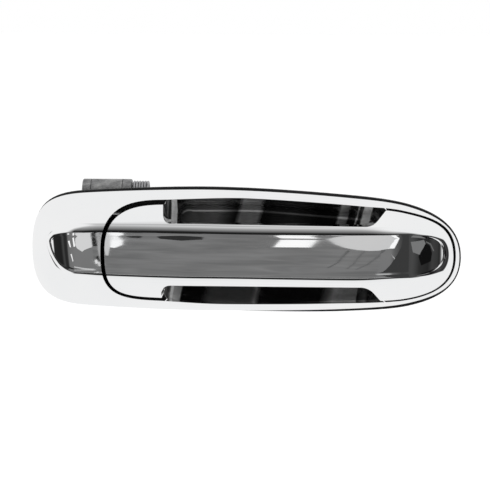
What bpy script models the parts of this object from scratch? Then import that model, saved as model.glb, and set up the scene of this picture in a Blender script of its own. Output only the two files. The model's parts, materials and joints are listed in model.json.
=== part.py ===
"""Exterior pull-type door handle for a right-hand front door, as an assembly of its real pieces.

Frame: +X towards the hinge end, +Z up, -Y outwards. The door skin's outer face is the plane y = 0.
All dimensions below are in millimetres, and each solid is written in metres.
"""

import math

import bmesh
import bpy
from mathutils import Matrix, Vector

MM = 0.001

# Free edge nodes: x, z, direction of travel in degrees, handle length before, handle length after.
# Every loop runs clockwise as seen from outside the door, starting at the latch end.
RIM = [
    (-110.3, 1.2, 90, 19.5, 20),
    (-84, 30.0, 4, 20, 12),
    (-22, 32.1, 0, 22, 24),
    (54, 28.3, -5, 24, 10),
    (84, 24.0, -16, 9, 16),
    (110.3, -2.3, -90, 14.8, 14),
    (84, -26.5, 193, 17, 9),
    (54, -29.6, 183, 10, 24),
    (-22, -30.7, 180, 24, 22),
    (-84, -28.3, 176, 12, 19),
]
BAND_FOOT = [
    (-101.0, 6.8, 95, 10, 3.0),
    (-86, 15.7, 1, 8.5, 14),
    (-22, 15.4, -1, 20, 24),
    (54, 15.0, 0, 24, 10),
    (88, 14.2, -5, 10, 11),
    (105, 0.3, -91, 9, 8),
    (88, -12.8, 184, 11, 10),
    (54, -14.4, 180, 10, 24),
    (-22, -14.0, 180, 24, 20),
    (-86, -12.4, 178, 14, 5),
]
BAND_EDGE = [
    (-98.4, 6.0, 99, 9, 2.4),
    (-86, 10.9, 1, 8, 14),
    (-22, 10.8, -1, 20, 24),
    (54, 10.5, 0, 24, 10),
    (86, 11.2, -1, 10, 11),
    (102, 0.8, -92, 8, 6),
    (86, -9.2, 182, 11, 10),
    (54, -10.1, 180, 10, 24),
    (-22, -9.7, 180, 24, 20),
    (-86, -8.2, 178, 14, 4.5),
]
POCKET = [
    (-72.6, 2.0, 90, 22, 19),
    (-44, 27.2, 1, 20.5, 12),
    (2, 28.1, -2, 14, 15),
    (60, 24.5, -5, 15, 8),
    (82, 22.2, -12, 8, 18),
    (108.4, -1.0, -90, 14.5, 13),
    (82, -24.1, 189, 18, 8),
    (40, -25.9, 182, 14, 14),
    (-10, -26.6, 180, 14, 14),
    (-46, -24.8, 178, 12, 21),
]
GRIP = [
    (-70.5, 2.0, 90, 21, 17.5),
    (-42, 25.0, 1, 20.5, 12),
    (2, 26.2, -2, 14, 15),
    (60, 23.5, -5, 15, 8),
    (82, 21.2, -12, 8, 17),
    (107.2, -1.0, -90, 14, 12.5),
    (82, -23.1, 189, 17, 8),
    (40, -24.9, 182, 14, 14),
    (-10, -25.0, 180, 14, 14),
    (-46, -22.9, 178, 12, 20),
]
# How far the black base stands out past the bezel's rim at each node of RIM.
BASE_PROUD = [-0.2, 0.9, 1.1, 1.0, 0.8, 0.5, 1.0, 0.8, -0.1, -0.3]

# Corners of the two finger windows: x, z, radius.
UPPER_WINDOW = [(92, 45, 0), (66.5, 15.4, 8), (-40.5, 16.4, 4), (-44, 45, 0)]
LOWER_WINDOW = [(-43, -45, 0), (-42.0, -15.6, 5), (64.5, -15.8, 8), (84, -45, 0)]
BOWL = [
    (-40.5, 27.4, 7),
    (4, 27.8, 200),
    (72.5, 22.8, 7),
    (72.5, -24.4, 7),
    (20, -26.4, 200),
    (-40.5, -26.2, 7),
]
REAR_TUB = [(-102, 22, 14), (-42, 23, 3), (-42, -22, 3), (-102, -20, 13)]
FRONT_TUB = [(74, 17.5, 3), (89, 16, 25), (103.5, 9.5, 9), (103.5, -11.5, 9), (89, -18.5, 25), (74, -20, 3)]

BAND_H = 28.0
FOOT_H = 26.0
RIM_H = 3.9
CROWN = 0.8
DOME_POWER = 1.15
FLANK_POWER = 2.0
SKIN = 2.4
GAP = 0.3

GRIP_BACK_H = 7.0
STRAP_BACK_H = 14.5
BOWL_FLOOR_Y = 11.5
BOWL_SKIN = 1.5
FLANGE_H = (1.9, 3.6)
GASKET_T = 1.6

HINGE_X = 90.0
HINGE_Y = -5.0
EAR_Z = (3.4, 6.6)
LUG_Z = (7.0, 9.8)
BORE_R = 2.09
RIVET_X = (-75.5, -69.5)
CRANK_Y = 20.0
CRANK_Z = 25.0
STUDS = {"stud_rear": (-94.0, 0.0, 5.0), "stud_front": (82.0, 0.0, 6.0)}
STUD_R = 3.0
STUD_END_Y = 32.0
BUMPER_X = -66.0
BUMPERS = (("bumper_upper", 11.5), ("bumper_lower", -11.5))
BEZEL_SCREWS = [(-91.0, 14.0), (-91.0, -11.5)]
GRIP_SCREWS = [(-46.0, 0.5), (80.0, 0.0)]
RAIL_Z = 12.5
BOWL_SCREWS = [(-20.0, RAIL_Z), (45.0, -RAIL_Z)]

STEPS = 6
SIDES = 16


# ---------------------------------------------------------------- outlines


def bezier_loop(nodes, steps=STEPS):
    points = []
    for first, second in zip(nodes, nodes[1:] + nodes[:1]):
        a = Vector(first[:2])
        d = Vector(second[:2])
        turn_a = math.radians(first[2])
        turn_d = math.radians(second[2])
        b = a + first[4] * Vector((math.cos(turn_a), math.sin(turn_a)))
        c = d - second[3] * Vector((math.cos(turn_d), math.sin(turn_d)))
        for i in range(steps):
            t = i / steps
            s = 1 - t
            points.append(s**3 * a + 3 * s * s * t * b + 3 * s * t * t * c + t**3 * d)
    return points


def rounded(corners, steps=5):
    """A polygon with each corner rounded by its radius."""
    points = []
    count = len(corners)
    for i, (x, z, radius) in enumerate(corners):
        here = Vector((x, z))
        before = (Vector(corners[i - 1][:2]) - here).normalized()
        after = (Vector(corners[(i + 1) % count][:2]) - here).normalized()
        if radius == 0:
            points.append(here)
            continue
        half = before.angle(after) / 2
        reach = radius / math.tan(half)
        centre = here + (before + after).normalized() * radius / math.sin(half)
        start = here + before * reach - centre
        end = here + after * reach - centre
        sweep = start.angle_signed(end)
        for k in range(steps + 1):
            turn = -sweep * k / steps
            points.append(centre + Matrix.Rotation(turn, 2) @ start)
    return points


def inset(points, distance):
    """The same outline moved inwards, or outwards if the distance is negative."""
    moved = []
    count = len(points)
    for i, point in enumerate(points):
        a = (point - points[i - 1]).normalized()
        b = (points[(i + 1) % count] - point).normalized()
        mean = (a + b).normalized()
        inward = Vector((mean.y, -mean.x))
        moved.append(point + inward * distance / max(mean.dot(a), 0.4))
    return moved


def ring_between(outer, inner, share, heights):
    return [
        (o.x + (i.x - o.x) * share, -h, o.y + (i.y - o.y) * share)
        for o, i, h in zip(outer, inner, heights)
    ]


# ---------------------------------------------------------------- solids


def new_collection(name):
    collection = bpy.data.collections.new(name)
    bpy.context.scene.collection.children.link(collection)
    return collection


def clear_scene():
    for obj in list(bpy.data.objects):
        bpy.data.objects.remove(obj)


def add_object(name, mesh_data, collection, smooth_angle=None):
    mesh = bpy.data.meshes.new(name)
    mesh_data.to_mesh(mesh)
    mesh_data.free()
    obj = bpy.data.objects.new(name, mesh)
    collection.objects.link(obj)
    if smooth_angle is not None:
        mesh.shade_smooth()
        mesh.set_sharp_from_angle(angle=math.radians(smooth_angle))
    return obj


def closed(bm):
    bmesh.ops.remove_doubles(bm, verts=bm.verts, dist=1e-7)
    bmesh.ops.recalc_face_normals(bm, faces=bm.faces)
    return bm


def loft(rings):
    """A closed solid through rings of equal count, capped at both ends. Points are in millimetres."""
    bm = bmesh.new()
    rows = [[bm.verts.new(Vector(p) * MM) for p in ring] for ring in rings]
    count = len(rows[0])
    for low, high in zip(rows, rows[1:]):
        for i in range(count):
            j = (i + 1) % count
            bm.faces.new((low[i], low[j], high[j], high[i]))
    bm.faces.new(rows[0])
    bm.faces.new(rows[-1])
    return closed(bm)


def prism(outline, y0, y1):
    return loft([[(p.x, y, p.y) for p in outline] for y in (y0, y1)])


def side_prism(outline, x0, x1):
    """An outline of (y, z) points, extruded along X."""
    return loft([[(x, p[0], p[1]) for p in outline] for x in (x0, x1)])


def box(x0, x1, y0, y1, z0, z1):
    corners = [(x0, z0), (x0, z1), (x1, z1), (x1, z0)]
    return prism([Vector(c) for c in corners], y0, y1)


def rod(axis, centre, spans, sides=SIDES):
    """A turned shape along X, Y or Z: spans is a list of (position along the axis, radius)."""
    turn = {
        "X": lambda a, u, v: (a, centre[1] + u, centre[2] + v),
        "Y": lambda a, u, v: (centre[0] + u, a, centre[2] + v),
        "Z": lambda a, u, v: (centre[0] + u, centre[1] + v, a),
    }[axis]
    rings = []
    for along, radius in spans:
        ring = []
        for i in range(sides):
            angle = 2 * math.pi * i / sides
            ring.append(turn(along, radius * math.cos(angle), radius * math.sin(angle)))
        rings.append(ring)
    return loft(rings)


def across(edge, rows, heights, crown):
    """Rows of points between an edge loop's upper and lower halves, from one end to the other."""
    count = len(edge)
    result = []
    for k in range(1, count // 2):
        top = edge[k]
        low = edge[count - k]
        half = abs(top.y - low.y) / 2
        row = []
        for r in range(1, rows):
            share = r / rows
            x = top.x + (low.x - top.x) * share
            z = top.y + (low.y - top.y) * share
            h = heights[k] + (heights[count - k] - heights[k]) * share
            bulge = crown * min(1, half / 10) ** 2 * (1 - (2 * share - 1) ** 2)
            row.append((x, -(h + bulge), z))
        result.append(row)
    return result


def band_height(x):
    if x > 72:
        return BAND_H - 14 * (1 - math.sqrt(1 - ((x - 72) / 32) ** 2))
    if x < -80:
        return BAND_H - 9 * (1 - math.sqrt(1 - ((-80 - x) / 20) ** 2))
    return BAND_H


def foot_height(x):
    if x > 60:
        return FOOT_H - 11 * (1 - math.sqrt(1 - ((x - 60) / 46) ** 2))
    if x < -70:
        return FOOT_H - 9 * (1 - math.sqrt(1 - ((-70 - x) / 33) ** 2))
    return FOOT_H


def master_solid(depth, floor_h, dome_rings=5, flank_rings=3, rows=4):
    """The handle's whole outer shape down to floor_h, moved inwards by depth."""
    rim = inset(bezier_loop(RIM), depth)
    foot = inset(bezier_loop(BAND_FOOT), depth * 0.6)
    edge = inset(bezier_loop(BAND_EDGE), depth * 0.5)
    foot_h = [foot_height(p.x) - depth for p in foot]
    edge_h = [band_height(p.x) - depth for p in edge]
    rings = []
    if floor_h < RIM_H:
        rings.append(ring_between(rim, foot, 0, [floor_h] * len(rim)))
    for i in range(dome_rings):
        turn = math.pi / 2 * i / dome_rings
        share = 1 - math.cos(turn) ** (2 / DOME_POWER)
        rise = math.sin(turn) ** (2 / DOME_POWER)
        heights = [RIM_H + (h - RIM_H) * rise for h in foot_h]
        rings.append(ring_between(rim, foot, share, heights))
    for i in range(flank_rings):
        share = i / flank_rings
        fall = (1 - share) ** FLANK_POWER
        heights = [e - (e - f) * fall for e, f in zip(edge_h, foot_h)]
        rings.append(ring_between(foot, edge, share, heights))
    rings.append([(p.x, -h, p.y) for p, h in zip(edge, edge_h)])
    bm = bmesh.new()
    made = [[bm.verts.new(Vector(p) * MM) for p in ring] for ring in rings]
    count = len(made[0])
    for low, high in zip(made, made[1:]):
        for i in range(count):
            j = (i + 1) % count
            bm.faces.new((low[i], low[j], high[j], high[i]))
    bm.faces.new(made[0])
    top = made[-1]
    half = count // 2
    middle = across(edge, rows, edge_h, CROWN)
    lines = [[top[0]]]
    for k in range(1, half):
        inner = [bm.verts.new(Vector(p) * MM) for p in middle[k - 1]]
        lines.append([top[k]] + inner + [top[count - k]])
    lines.append([top[half]])
    for a, b in zip(lines, lines[1:]):
        if len(a) == 1:
            for r in range(rows):
                bm.faces.new((a[0], b[r], b[r + 1]))
        elif len(b) == 1:
            for r in range(rows):
                bm.faces.new((a[r], b[0], a[r + 1]))
        else:
            for r in range(rows):
                bm.faces.new((a[r], b[r], b[r + 1], a[r + 1]))
    bm = closed(bm)
    if floor_h > RIM_H:
        plane = bmesh.ops.bisect_plane(
            bm,
            geom=bm.verts[:] + bm.edges[:] + bm.faces[:],
            plane_co=(0, -floor_h * MM, 0),
            plane_no=(0, 1, 0),
            clear_outer=True,
        )
        rim_edges = [e for e in plane["geom_cut"] if isinstance(e, bmesh.types.BMEdge)]
        bmesh.ops.holes_fill(bm, edges=rim_edges)
        bm = closed(bm)
    return bm


class Kit:
    """Adds parts, and the hidden shapes that cut or join them."""

    def __init__(self, parts, cutters):
        self.parts = parts
        self.cutters = cutters
        self.count = 0

    def part(self, name, bm, material, smooth_angle=35):
        obj = add_object(name, bm, self.parts, smooth_angle)
        obj.data.materials.append(material)
        return obj

    def helper(self, bm):
        self.count += 1
        obj = add_object(f"tool_{self.count}", bm, self.cutters)
        obj.hide_render = True
        obj.display_type = "WIRE"
        return obj

    def boolean(self, obj, other, operation):
        if isinstance(other, bmesh.types.BMesh):
            other = self.helper(other)
        modifier = obj.modifiers.new(f"{operation.lower()}_{len(obj.modifiers)}", "BOOLEAN")
        modifier.operation = operation
        modifier.solver = "EXACT"
        modifier.object = other
        return obj

    def cut(self, obj, *others):
        for other in others:
            self.boolean(obj, other, "DIFFERENCE")
        return obj

    def join(self, obj, *others):
        for other in others:
            self.boolean(obj, other, "UNION")
        return obj

    def keep(self, obj, other):
        return self.boolean(obj, other, "INTERSECT")


# ---------------------------------------------------------------- materials


def material(name, color, metallic, roughness):
    made = bpy.data.materials.new(name)
    made.use_nodes = True
    shader = made.node_tree.nodes["Principled BSDF"]
    shader.inputs["Base Color"].default_value = (*color, 1)
    shader.inputs["Metallic"].default_value = metallic
    shader.inputs["Roughness"].default_value = roughness
    made.diffuse_color = (*color, 1)
    return made


def materials():
    return {
        "chrome": material("chrome", (0.86, 0.87, 0.88), 1, 0.05),
        "bowl": material("dark_chrome", (0.08, 0.08, 0.085), 1, 0.12),
        "nylon": material("black_nylon", (0.03, 0.03, 0.032), 0, 0.5),
        "rubber": material("black_rubber", (0.02, 0.02, 0.02), 0, 0.75),
        "zinc": material("cast_zinc", (0.5, 0.5, 0.5), 1, 0.45),
        "steel": material("plated_steel", (0.62, 0.62, 0.6), 1, 0.3),
        "spring": material("spring_steel", (0.4, 0.4, 0.41), 1, 0.3),
        "acetal": material("natural_acetal", (0.75, 0.74, 0.7), 0, 0.4),
    }


# ---------------------------------------------------------------- bezel and bowl


def build_bezel(kit, mats):
    bezel = kit.part("bezel", master_solid(0, RIM_H), mats["chrome"])
    kit.cut(bezel, prism(bezier_loop(POCKET), -45, 5))
    hollow = kit.helper(master_solid(SKIN, RIM_H - 2))
    kit.cut(hollow, box(-76, 130, -45, 10, -50, 50))
    kit.cut(bezel, hollow)
    for x, z in BEZEL_SCREWS:
        kit.join(bezel, rod("Y", (x, 0, z), [(-RIM_H, 3.4), (-14, 3.4), (-21.8, 1.6)], 16))
    for x, z in BEZEL_SCREWS:
        kit.cut(bezel, rod("Y", (x, 0, z), [(-RIM_H + 1, 1.5), (-12, 1.5)], 12))
    return bezel


def bowl_ring(depth):
    """The bowl's outline moved inwards, with its corner radii easing off."""
    corners = inset([Vector(corner[:2]) for corner in BOWL], depth)
    radii = [radius if radius > 50 else max(2.5, radius - 0.35 * depth) for _, _, radius in BOWL]
    return rounded([(p.x, p.y, radius) for p, radius in zip(corners, radii)])


def build_bowl(kit, mats):
    """A pressed pan, widest at its mouth behind the bezel's lip."""
    steps = [(-3.5, 0.0), (-1.5, 1.6), (2, 3.4), (7, 5.0), (9.6, 6.6), (11.1, 9.0), (BOWL_FLOOR_Y, 11.6)]
    inner = [[(p.x, y, p.y) for p in bowl_ring(d)] for y, d in steps]
    outer_steps = [(-3.5, -BOWL_SKIN), (-1.2, 0.0), (2.2, 1.9), (7.2, 3.5), (10.4, 5.4), (12.3, 8.4)]
    outer = [[(p.x, y, p.y) for p in bowl_ring(d)] for y, d in outer_steps]
    outer.append([(p.x, BOWL_FLOOR_Y + BOWL_SKIN, p.y) for p in bowl_ring(11.6)])
    bowl = kit.part("finger_bowl", loft(outer), mats["bowl"])
    lifted = [[(x, -5.0, z) for x, _, z in inner[0]]] + inner
    kit.cut(bowl, loft(lifted))
    for x, z in BOWL_SCREWS:
        kit.join(bowl, rod("Y", (x, 0, z), [(12.2, 3.2), (13.1, 3.2)], 16))
    return bowl


# ---------------------------------------------------------------- grip


def grip_space(kit, depth, floor_h):
    """The grip's outline under its skin, with both finger windows taken out."""
    space = kit.helper(master_solid(depth, floor_h))
    kit.keep(space, prism(inset(bezier_loop(GRIP), depth), -45, 10))
    for window in (UPPER_WINDOW, LOWER_WINDOW):
        kit.cut(space, prism(inset(rounded(window), -depth), -50, 15))
    return space


def build_grip_cover(kit, mats):
    cover = kit.part("grip_cover", master_solid(0, GRIP_BACK_H), mats["chrome"])
    kit.keep(cover, prism(bezier_loop(GRIP), -45, 10))
    for window in (UPPER_WINDOW, LOWER_WINDOW):
        kit.cut(cover, prism(rounded(window), -50, 15))
    kit.cut(cover, box(-37.5, 62, -STRAP_BACK_H, 10, -30, 30))
    kit.cut(cover, grip_space(kit, SKIN, 0))
    for x, z in GRIP_SCREWS:
        kit.join(cover, rod("Y", (x, 0, z), [(-17, 3.4), (-26.8, 3.4)], 16))
        kit.cut(cover, rod("Y", (x, 0, z), [(-16, 1.7), (-23.5, 1.7)], 12))
    return cover


def build_grip_core(kit, mats):
    depth = SKIN + GAP
    core = kit.part("grip_core", master_solid(depth, GRIP_BACK_H + 0.4), mats["nylon"])
    kit.keep(core, prism(inset(bezier_loop(GRIP), depth), -45, 10))
    for window in (UPPER_WINDOW, LOWER_WINDOW):
        kit.cut(core, prism(inset(rounded(window), -depth), -50, 15))
    kit.cut(core, box(-36.5, 61, -STRAP_BACK_H - 0.8, 10, -30, 30))
    kit.cut(core, box(HINGE_X - 7.5, HINGE_X + 8, -11.2, 10, -LUG_Z[0] + 0.1, LUG_Z[0] - 0.1))
    kit.cut(core, box(HINGE_X - 4.2, HINGE_X + 4.2, -8.6, 10, -25, 25))
    for z0, z1 in (LUG_Z, (-LUG_Z[1], -LUG_Z[0])):
        lug = [(HINGE_X - 4.4, -10.5)]
        for angle in half_turn(180, 0):
            lug.append((HINGE_X + 4.4 * math.cos(angle), HINGE_Y + 4.4 * math.sin(angle)))
        lug.append((HINGE_X + 4.4, -10.5))
        kit.join(core, z_prism(lug, z0, z1))
    kit.cut(core, rod("Z", (HINGE_X, HINGE_Y, 0), [(-20, BORE_R), (20, BORE_R)]))
    kit.join(core, box(-56, -52, -9, 39.3, -4, 9))
    kit.join(core, box(-52.7, -47.2, 35.3, 39.3, -4, 3.0))
    for x, z in GRIP_SCREWS:
        kit.cut(core, rod("Y", (x, 0, z), [(-16.6, 3.8), (-28, 3.8)], 16))
        kit.cut(core, rod("Y", (x, 0, z), [(-5, 1.9), (-20, 1.9)], 12))
    return core


def half_turn(start, end, steps=10):
    return [math.radians(start + (end - start) * i / steps) for i in range(steps + 1)]


def z_prism(outline, z0, z1):
    """An outline of (x, y) points, extruded along Z."""
    return loft([[(p[0], p[1], z) for p in outline] for z in (z0, z1)])


# ---------------------------------------------------------------- chassis and gasket


def base_outline(less=0.0):
    nodes = []
    for (x, z, turn, before, after), proud in zip(RIM, BASE_PROUD):
        angle = math.radians(turn + 90)
        reach = proud - less
        nodes.append((x + reach * math.cos(angle), z + reach * math.sin(angle), turn, before, after))
    return bezier_loop(nodes)


def bowl_opening():
    return bowl_ring(-BOWL_SKIN - GAP)


def cheek(x0, x1, boss_r):
    outline = [(12.8, 12.0), (12.8, 21.0)]
    for angle in half_turn(180, 0, 8):
        outline.append((CRANK_Y + boss_r * math.cos(angle), CRANK_Z + boss_r * math.sin(angle)))
    outline += [(24.4, 19.0), (19.0, 12.0)]
    return side_prism(outline, x0, x1)


def build_chassis(kit, mats):
    rear = rounded(REAR_TUB)
    front = rounded(FRONT_TUB)
    chassis = kit.part("chassis", prism(base_outline(), -FLANGE_H[1], -FLANGE_H[0] + 0.1), mats["nylon"])
    kit.join(chassis, prism(rear, -FLANGE_H[0] - 0.5, 15.4))
    kit.join(chassis, prism(front, -FLANGE_H[0] - 0.5, 10))
    kit.cut(chassis, prism(bowl_opening(), -10, 12.9))
    kit.cut(chassis, prism(inset(rear, 2), -FLANGE_H[0] + 0.1, 13.2))
    kit.cut(chassis, box(-74, -42.6, -10, 1, -19.5, 20.5))
    kit.cut(chassis, prism(inset(front, 2), -10, 8))
    kit.join(chassis, box(73.6, 76.4, 6, 17.4, -16, 15))
    for z in (RAIL_Z, -RAIL_Z):
        kit.join(chassis, box(-44, 75, 13.5, 17.4, z - 3, z + 3))
    kit.join(chassis, box(14, 17, 13.5, 17.0, -14, 14))
    for z0, z1 in (EAR_Z, (-EAR_Z[1], -EAR_Z[0])):
        ear = [(HINGE_X - 4.4, 9)]
        for angle in half_turn(180, 360, 10):
            ear.append((HINGE_X + 4.4 * math.cos(angle), HINGE_Y + 4.4 * math.sin(angle)))
        ear.append((HINGE_X + 4.4, 9))
        kit.join(chassis, z_prism(ear, z0, z1))
    kit.cut(chassis, rod("Z", (HINGE_X, HINGE_Y, 0), [(-10, BORE_R), (10, BORE_R)]))
    kit.join(chassis, cheek(-90, -87, 3.1), cheek(-47, -44, 4.4))
    kit.cut(chassis, rod("X", (0, CRANK_Y, CRANK_Z), [(-86.9, 10.8), (-47.15, 10.8)]))
    kit.cut(chassis, rod("X", (0, CRANK_Y, CRANK_Z), [(-95, 2.2), (-40, 2.2)]))
    kit.cut(chassis, box(-61.6, -46.6, 12, 16, -6, 11))
    kit.cut(chassis, box(-51.8, -46.6, 12, 16, 10, 22))
    for x, z, start in STUDS.values():
        kit.join(chassis, rod("Y", (x, 0, z), [(start - 2.0, 6.5), (17.4, 6.5)]))
        kit.cut(chassis, rod("Y", (x, 0, z), [(start, STUD_R + 0.2), (25, STUD_R + 0.2)]))
    for x, z in BEZEL_SCREWS:
        kit.cut(chassis, rod("Y", (x, 0, z), [(-9, 1.6), (1, 1.6)], 12))
        kit.cut(chassis, rod("Y", (x, 0, z), [(12, 3.8), (16, 3.8)], 16))
    for x, z in BOWL_SCREWS:
        kit.cut(chassis, rod("Y", (x, 0, z), [(13, 1.6), (19, 1.6)], 12))
    for _, z in BUMPERS:
        kit.join(chassis, rod("Y", (BUMPER_X, 0, z), [(14, 3.6), (-1.5, 3.0)], 16))
        kit.cut(chassis, rod("Y", (BUMPER_X, 0, z), [(-3, 1.6), (3.5, 1.6)], 12))
    return chassis


def build_gasket(kit, mats):
    gasket = kit.part("gasket", prism(base_outline(0.15), -GASKET_T, 0), mats["rubber"])
    kit.cut(gasket, prism(bowl_opening(), -10, 12))
    kit.cut(gasket, prism(inset(rounded(REAR_TUB), -0.4), -10, 10))
    kit.cut(gasket, prism(inset(rounded(FRONT_TUB), -0.4), -10, 10))
    return gasket


def build_bumpers(kit, mats):
    for name, z in BUMPERS:
        spans = [(3.2, 1.4), (-1.8, 1.4), (-1.8, 3.0), (-5.9, 3.0), (-6.7, 2.2)]
        kit.part(name, rod("Y", (BUMPER_X, 0, z), spans, 16), mats["rubber"])


# ---------------------------------------------------------------- crank, spring and rod clip


def build_bellcrank(kit, mats):
    spans = [(-86.2, 9.2), (-85.8, 9.6), (-61.1, 9.6), (-60.7, 9.2)]
    spans += [(-60.7, 5.4), (-51.3, 5.4), (-51.2, 4.4), (-47.4, 4.4)]
    crank = kit.part("bellcrank", rod("X", (0, CRANK_Y, CRANK_Z), spans), mats["zinc"])
    kit.join(crank, arm(-51.2, -47.4, 23.75, -59.7, 4.4, 3.0))
    kit.join(crank, arm(-84.9, -82.3, 17.1, -20.6, 5.0, 4.2))
    kit.cut(crank, rod("X", (0, CRANK_Y, CRANK_Z), [(-90, BORE_R), (-45, BORE_R)]))
    kit.cut(crank, side_prism(sleeve_outline(-38, 178, 7.4, 11.0), -81.8, -65.2))
    clip_y, clip_z = clip_centre()
    kit.cut(crank, rod("X", (0, clip_y, clip_z), [(-90, 2.12), (-81, 2.12)]))
    for x in RIVET_X:
        kit.cut(crank, rod("Y", (x, 0, CRANK_Z), [(CRANK_Y + 5.2, 1.4), (CRANK_Y + 11, 1.4)], 12))
    return crank


def arm(x0, x1, reach, turn, root_r, tip_r):
    """A tapered lever from the crank's axis. turn is its direction in degrees from +Y towards +Z."""
    lean = math.asin((root_r - tip_r) / reach)
    outline = []
    for angle in half_turn(90 - math.degrees(lean), -90 + math.degrees(lean), 8):
        outline.append((reach + tip_r * math.cos(angle), tip_r * math.sin(angle)))
    for side in (-1, 1):
        outline.append((root_r * math.sin(lean), side * root_r * math.cos(lean)))
    c = math.cos(math.radians(turn))
    s = math.sin(math.radians(turn))
    return side_prism([(CRANK_Y + c * u - s * v, CRANK_Z + s * u + c * v) for u, v in outline], x0, x1)


def clip_centre():
    angle = math.radians(-20.6)
    return CRANK_Y + 17.1 * math.cos(angle), CRANK_Z + 17.1 * math.sin(angle)


def sleeve_outline(start, end, inner_r, outer_r):
    outline = []
    for angle in half_turn(start, end, 18):
        outline.append((CRANK_Y + outer_r * math.cos(angle), CRANK_Z + outer_r * math.sin(angle)))
    for angle in half_turn(end, start, 18):
        outline.append((CRANK_Y + inner_r * math.cos(angle), CRANK_Z + inner_r * math.sin(angle)))
    return outline


def build_counterweight(kit, mats):
    """A sleeve that wraps half of the crank's hub."""
    outline = sleeve_outline(-35, 175, 7.7, 9.6)
    weight = kit.part("counterweight", side_prism(outline, -81.5, -65.5), mats["zinc"])
    for number, x in enumerate(RIVET_X, 1):
        kit.cut(weight, rod("Y", (x, 0, CRANK_Z), [(CRANK_Y + 5, 1.4), (CRANK_Y + 12, 1.4)], 12))
        spans = [(CRANK_Y + 5.5, 1.2), (CRANK_Y + 9.9, 1.2), (CRANK_Y + 9.9, 2.2), (CRANK_Y + 10.6, 1.6)]
        kit.part(f"counterweight_rivet_{number}", rod("Y", (x, 0, CRANK_Z), spans, 12), mats["steel"])
    return weight


def build_rod_clip(kit, mats):
    y, z = clip_centre()
    clip = kit.part("rod_clip", box(-81.8, -77, y - 3.6, y + 3.6, z - 4.5, z + 4.5), mats["acetal"])
    kit.join(clip, rod("X", (0, y, z), [(-81, 2.04), (-84.9, 2.04), (-84.9, 2.7), (-85.8, 1.9)]))
    kit.cut(clip, rod("Z", (-79.2, y, 0), [(z - 6, 1.3), (z + 6, 1.3)], 12))
    return clip


def build_spring(kit, mats):
    """A torsion spring beside the crank, with one leg down to the chassis."""
    wire = 0.65
    radius = 8.1
    turns = 5
    curve = bpy.data.curves.new("return_spring_path", "CURVE")
    curve.dimensions = "3D"
    curve.bevel_depth = wire * MM
    curve.bevel_resolution = 1
    curve.use_fill_caps = True
    start = -59.7
    end = -52.0
    per_turn = 14
    count = int((turns + 0.5) * per_turn)
    points = []
    for i in range(count + 1):
        angle = 2 * math.pi * i / per_turn
        x = start + (end - start) * i / count
        points.append((x, CRANK_Y + radius * math.cos(angle), CRANK_Z + radius * math.sin(angle)))
    points.append((end, CRANK_Y - radius, CRANK_Z - 2.5))
    points.append((end, CRANK_Y - radius, CRANK_Z - 10.5))
    spline = curve.splines.new("POLY")
    spline.points.add(len(points) - 1)
    for target, point in zip(spline.points, points):
        target.co = (*(Vector(point) * MM), 1)
    helper = bpy.data.objects.new("spring_path", curve)
    kit.cutters.objects.link(helper)
    bpy.context.view_layer.update()
    mesh = bpy.data.meshes.new_from_object(helper.evaluated_get(bpy.context.evaluated_depsgraph_get()))
    bpy.data.objects.remove(helper)
    bm = bmesh.new()
    bm.from_mesh(mesh)
    return kit.part("return_spring", closed(bm), mats["spring"], 60)


# ---------------------------------------------------------------- pins and screws


def build_pins(kit, mats):
    hinge = [(-11.8, 1.8), (-11.6, 2.0), (-11.0, 2.0), (-11.0, 1.5), (-10.1, 1.5), (-10.1, 2.0)]
    hinge += [(10.1, 2.0), (10.1, 3.0), (11.0, 3.0), (11.4, 2.5)]
    kit.part("hinge_pin", rod("Z", (HINGE_X, HINGE_Y, 0), hinge), mats["steel"])
    clip = retaining_ring("Z", (HINGE_X, HINGE_Y, 0), -10.9, -10.2)
    kit.part("hinge_pin_clip", clip, mats["spring"])
    crank = [(-91.9, 2.3), (-91.6, 2.8), (-90.3, 2.8), (-90.3, 2.0), (-43.4, 2.0), (-43.4, 1.5)]
    crank += [(-42.5, 1.5), (-42.5, 2.0), (-41.9, 2.0), (-41.6, 1.7)]
    kit.part("bellcrank_pin", rod("X", (0, CRANK_Y, CRANK_Z), crank), mats["steel"])
    kit.part("bellcrank_pin_clip", retaining_ring("X", (0, CRANK_Y, CRANK_Z), -43.3, -42.6), mats["spring"])


def retaining_ring(axis, centre, start, end):
    """An open ring that snaps into a pin's groove."""
    outline = []
    for angle in half_turn(-140, 140, 14):
        outline.append((3.3 * math.cos(angle), 3.3 * math.sin(angle)))
    for angle in half_turn(140, -140, 14):
        outline.append((1.6 * math.cos(angle), 1.6 * math.sin(angle)))
    if axis == "X":
        return side_prism([(centre[1] + u, centre[2] + v) for u, v in outline], start, end)
    return z_prism([(centre[0] + u, centre[1] - v) for v, u in outline], start, end)


def screw(centre, head_y, tip_y, head_r, shank_r):
    """A pan head screw that points outwards, with a cross recess in its head."""
    x, z = centre
    out = -1 if tip_y < head_y else 1
    spans = [(head_y, head_r * 0.75), (head_y + out * 0.6, head_r), (head_y + out * 1.8, head_r)]
    spans += [(head_y + out * 1.8, shank_r), (tip_y - out * 0.8, shank_r), (tip_y, shank_r * 0.5)]
    return rod("Y", (x, 0, z), spans, 16)


def cross_recess(kit, obj, centre, head_y, size):
    x, z = centre
    kit.cut(obj, box(x - size, x + size, head_y - 0.9, head_y + 1, z - 0.35, z + 0.35))
    kit.cut(obj, box(x - 0.35, x + 0.35, head_y - 0.9, head_y + 1, z - size, z + size))


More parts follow.
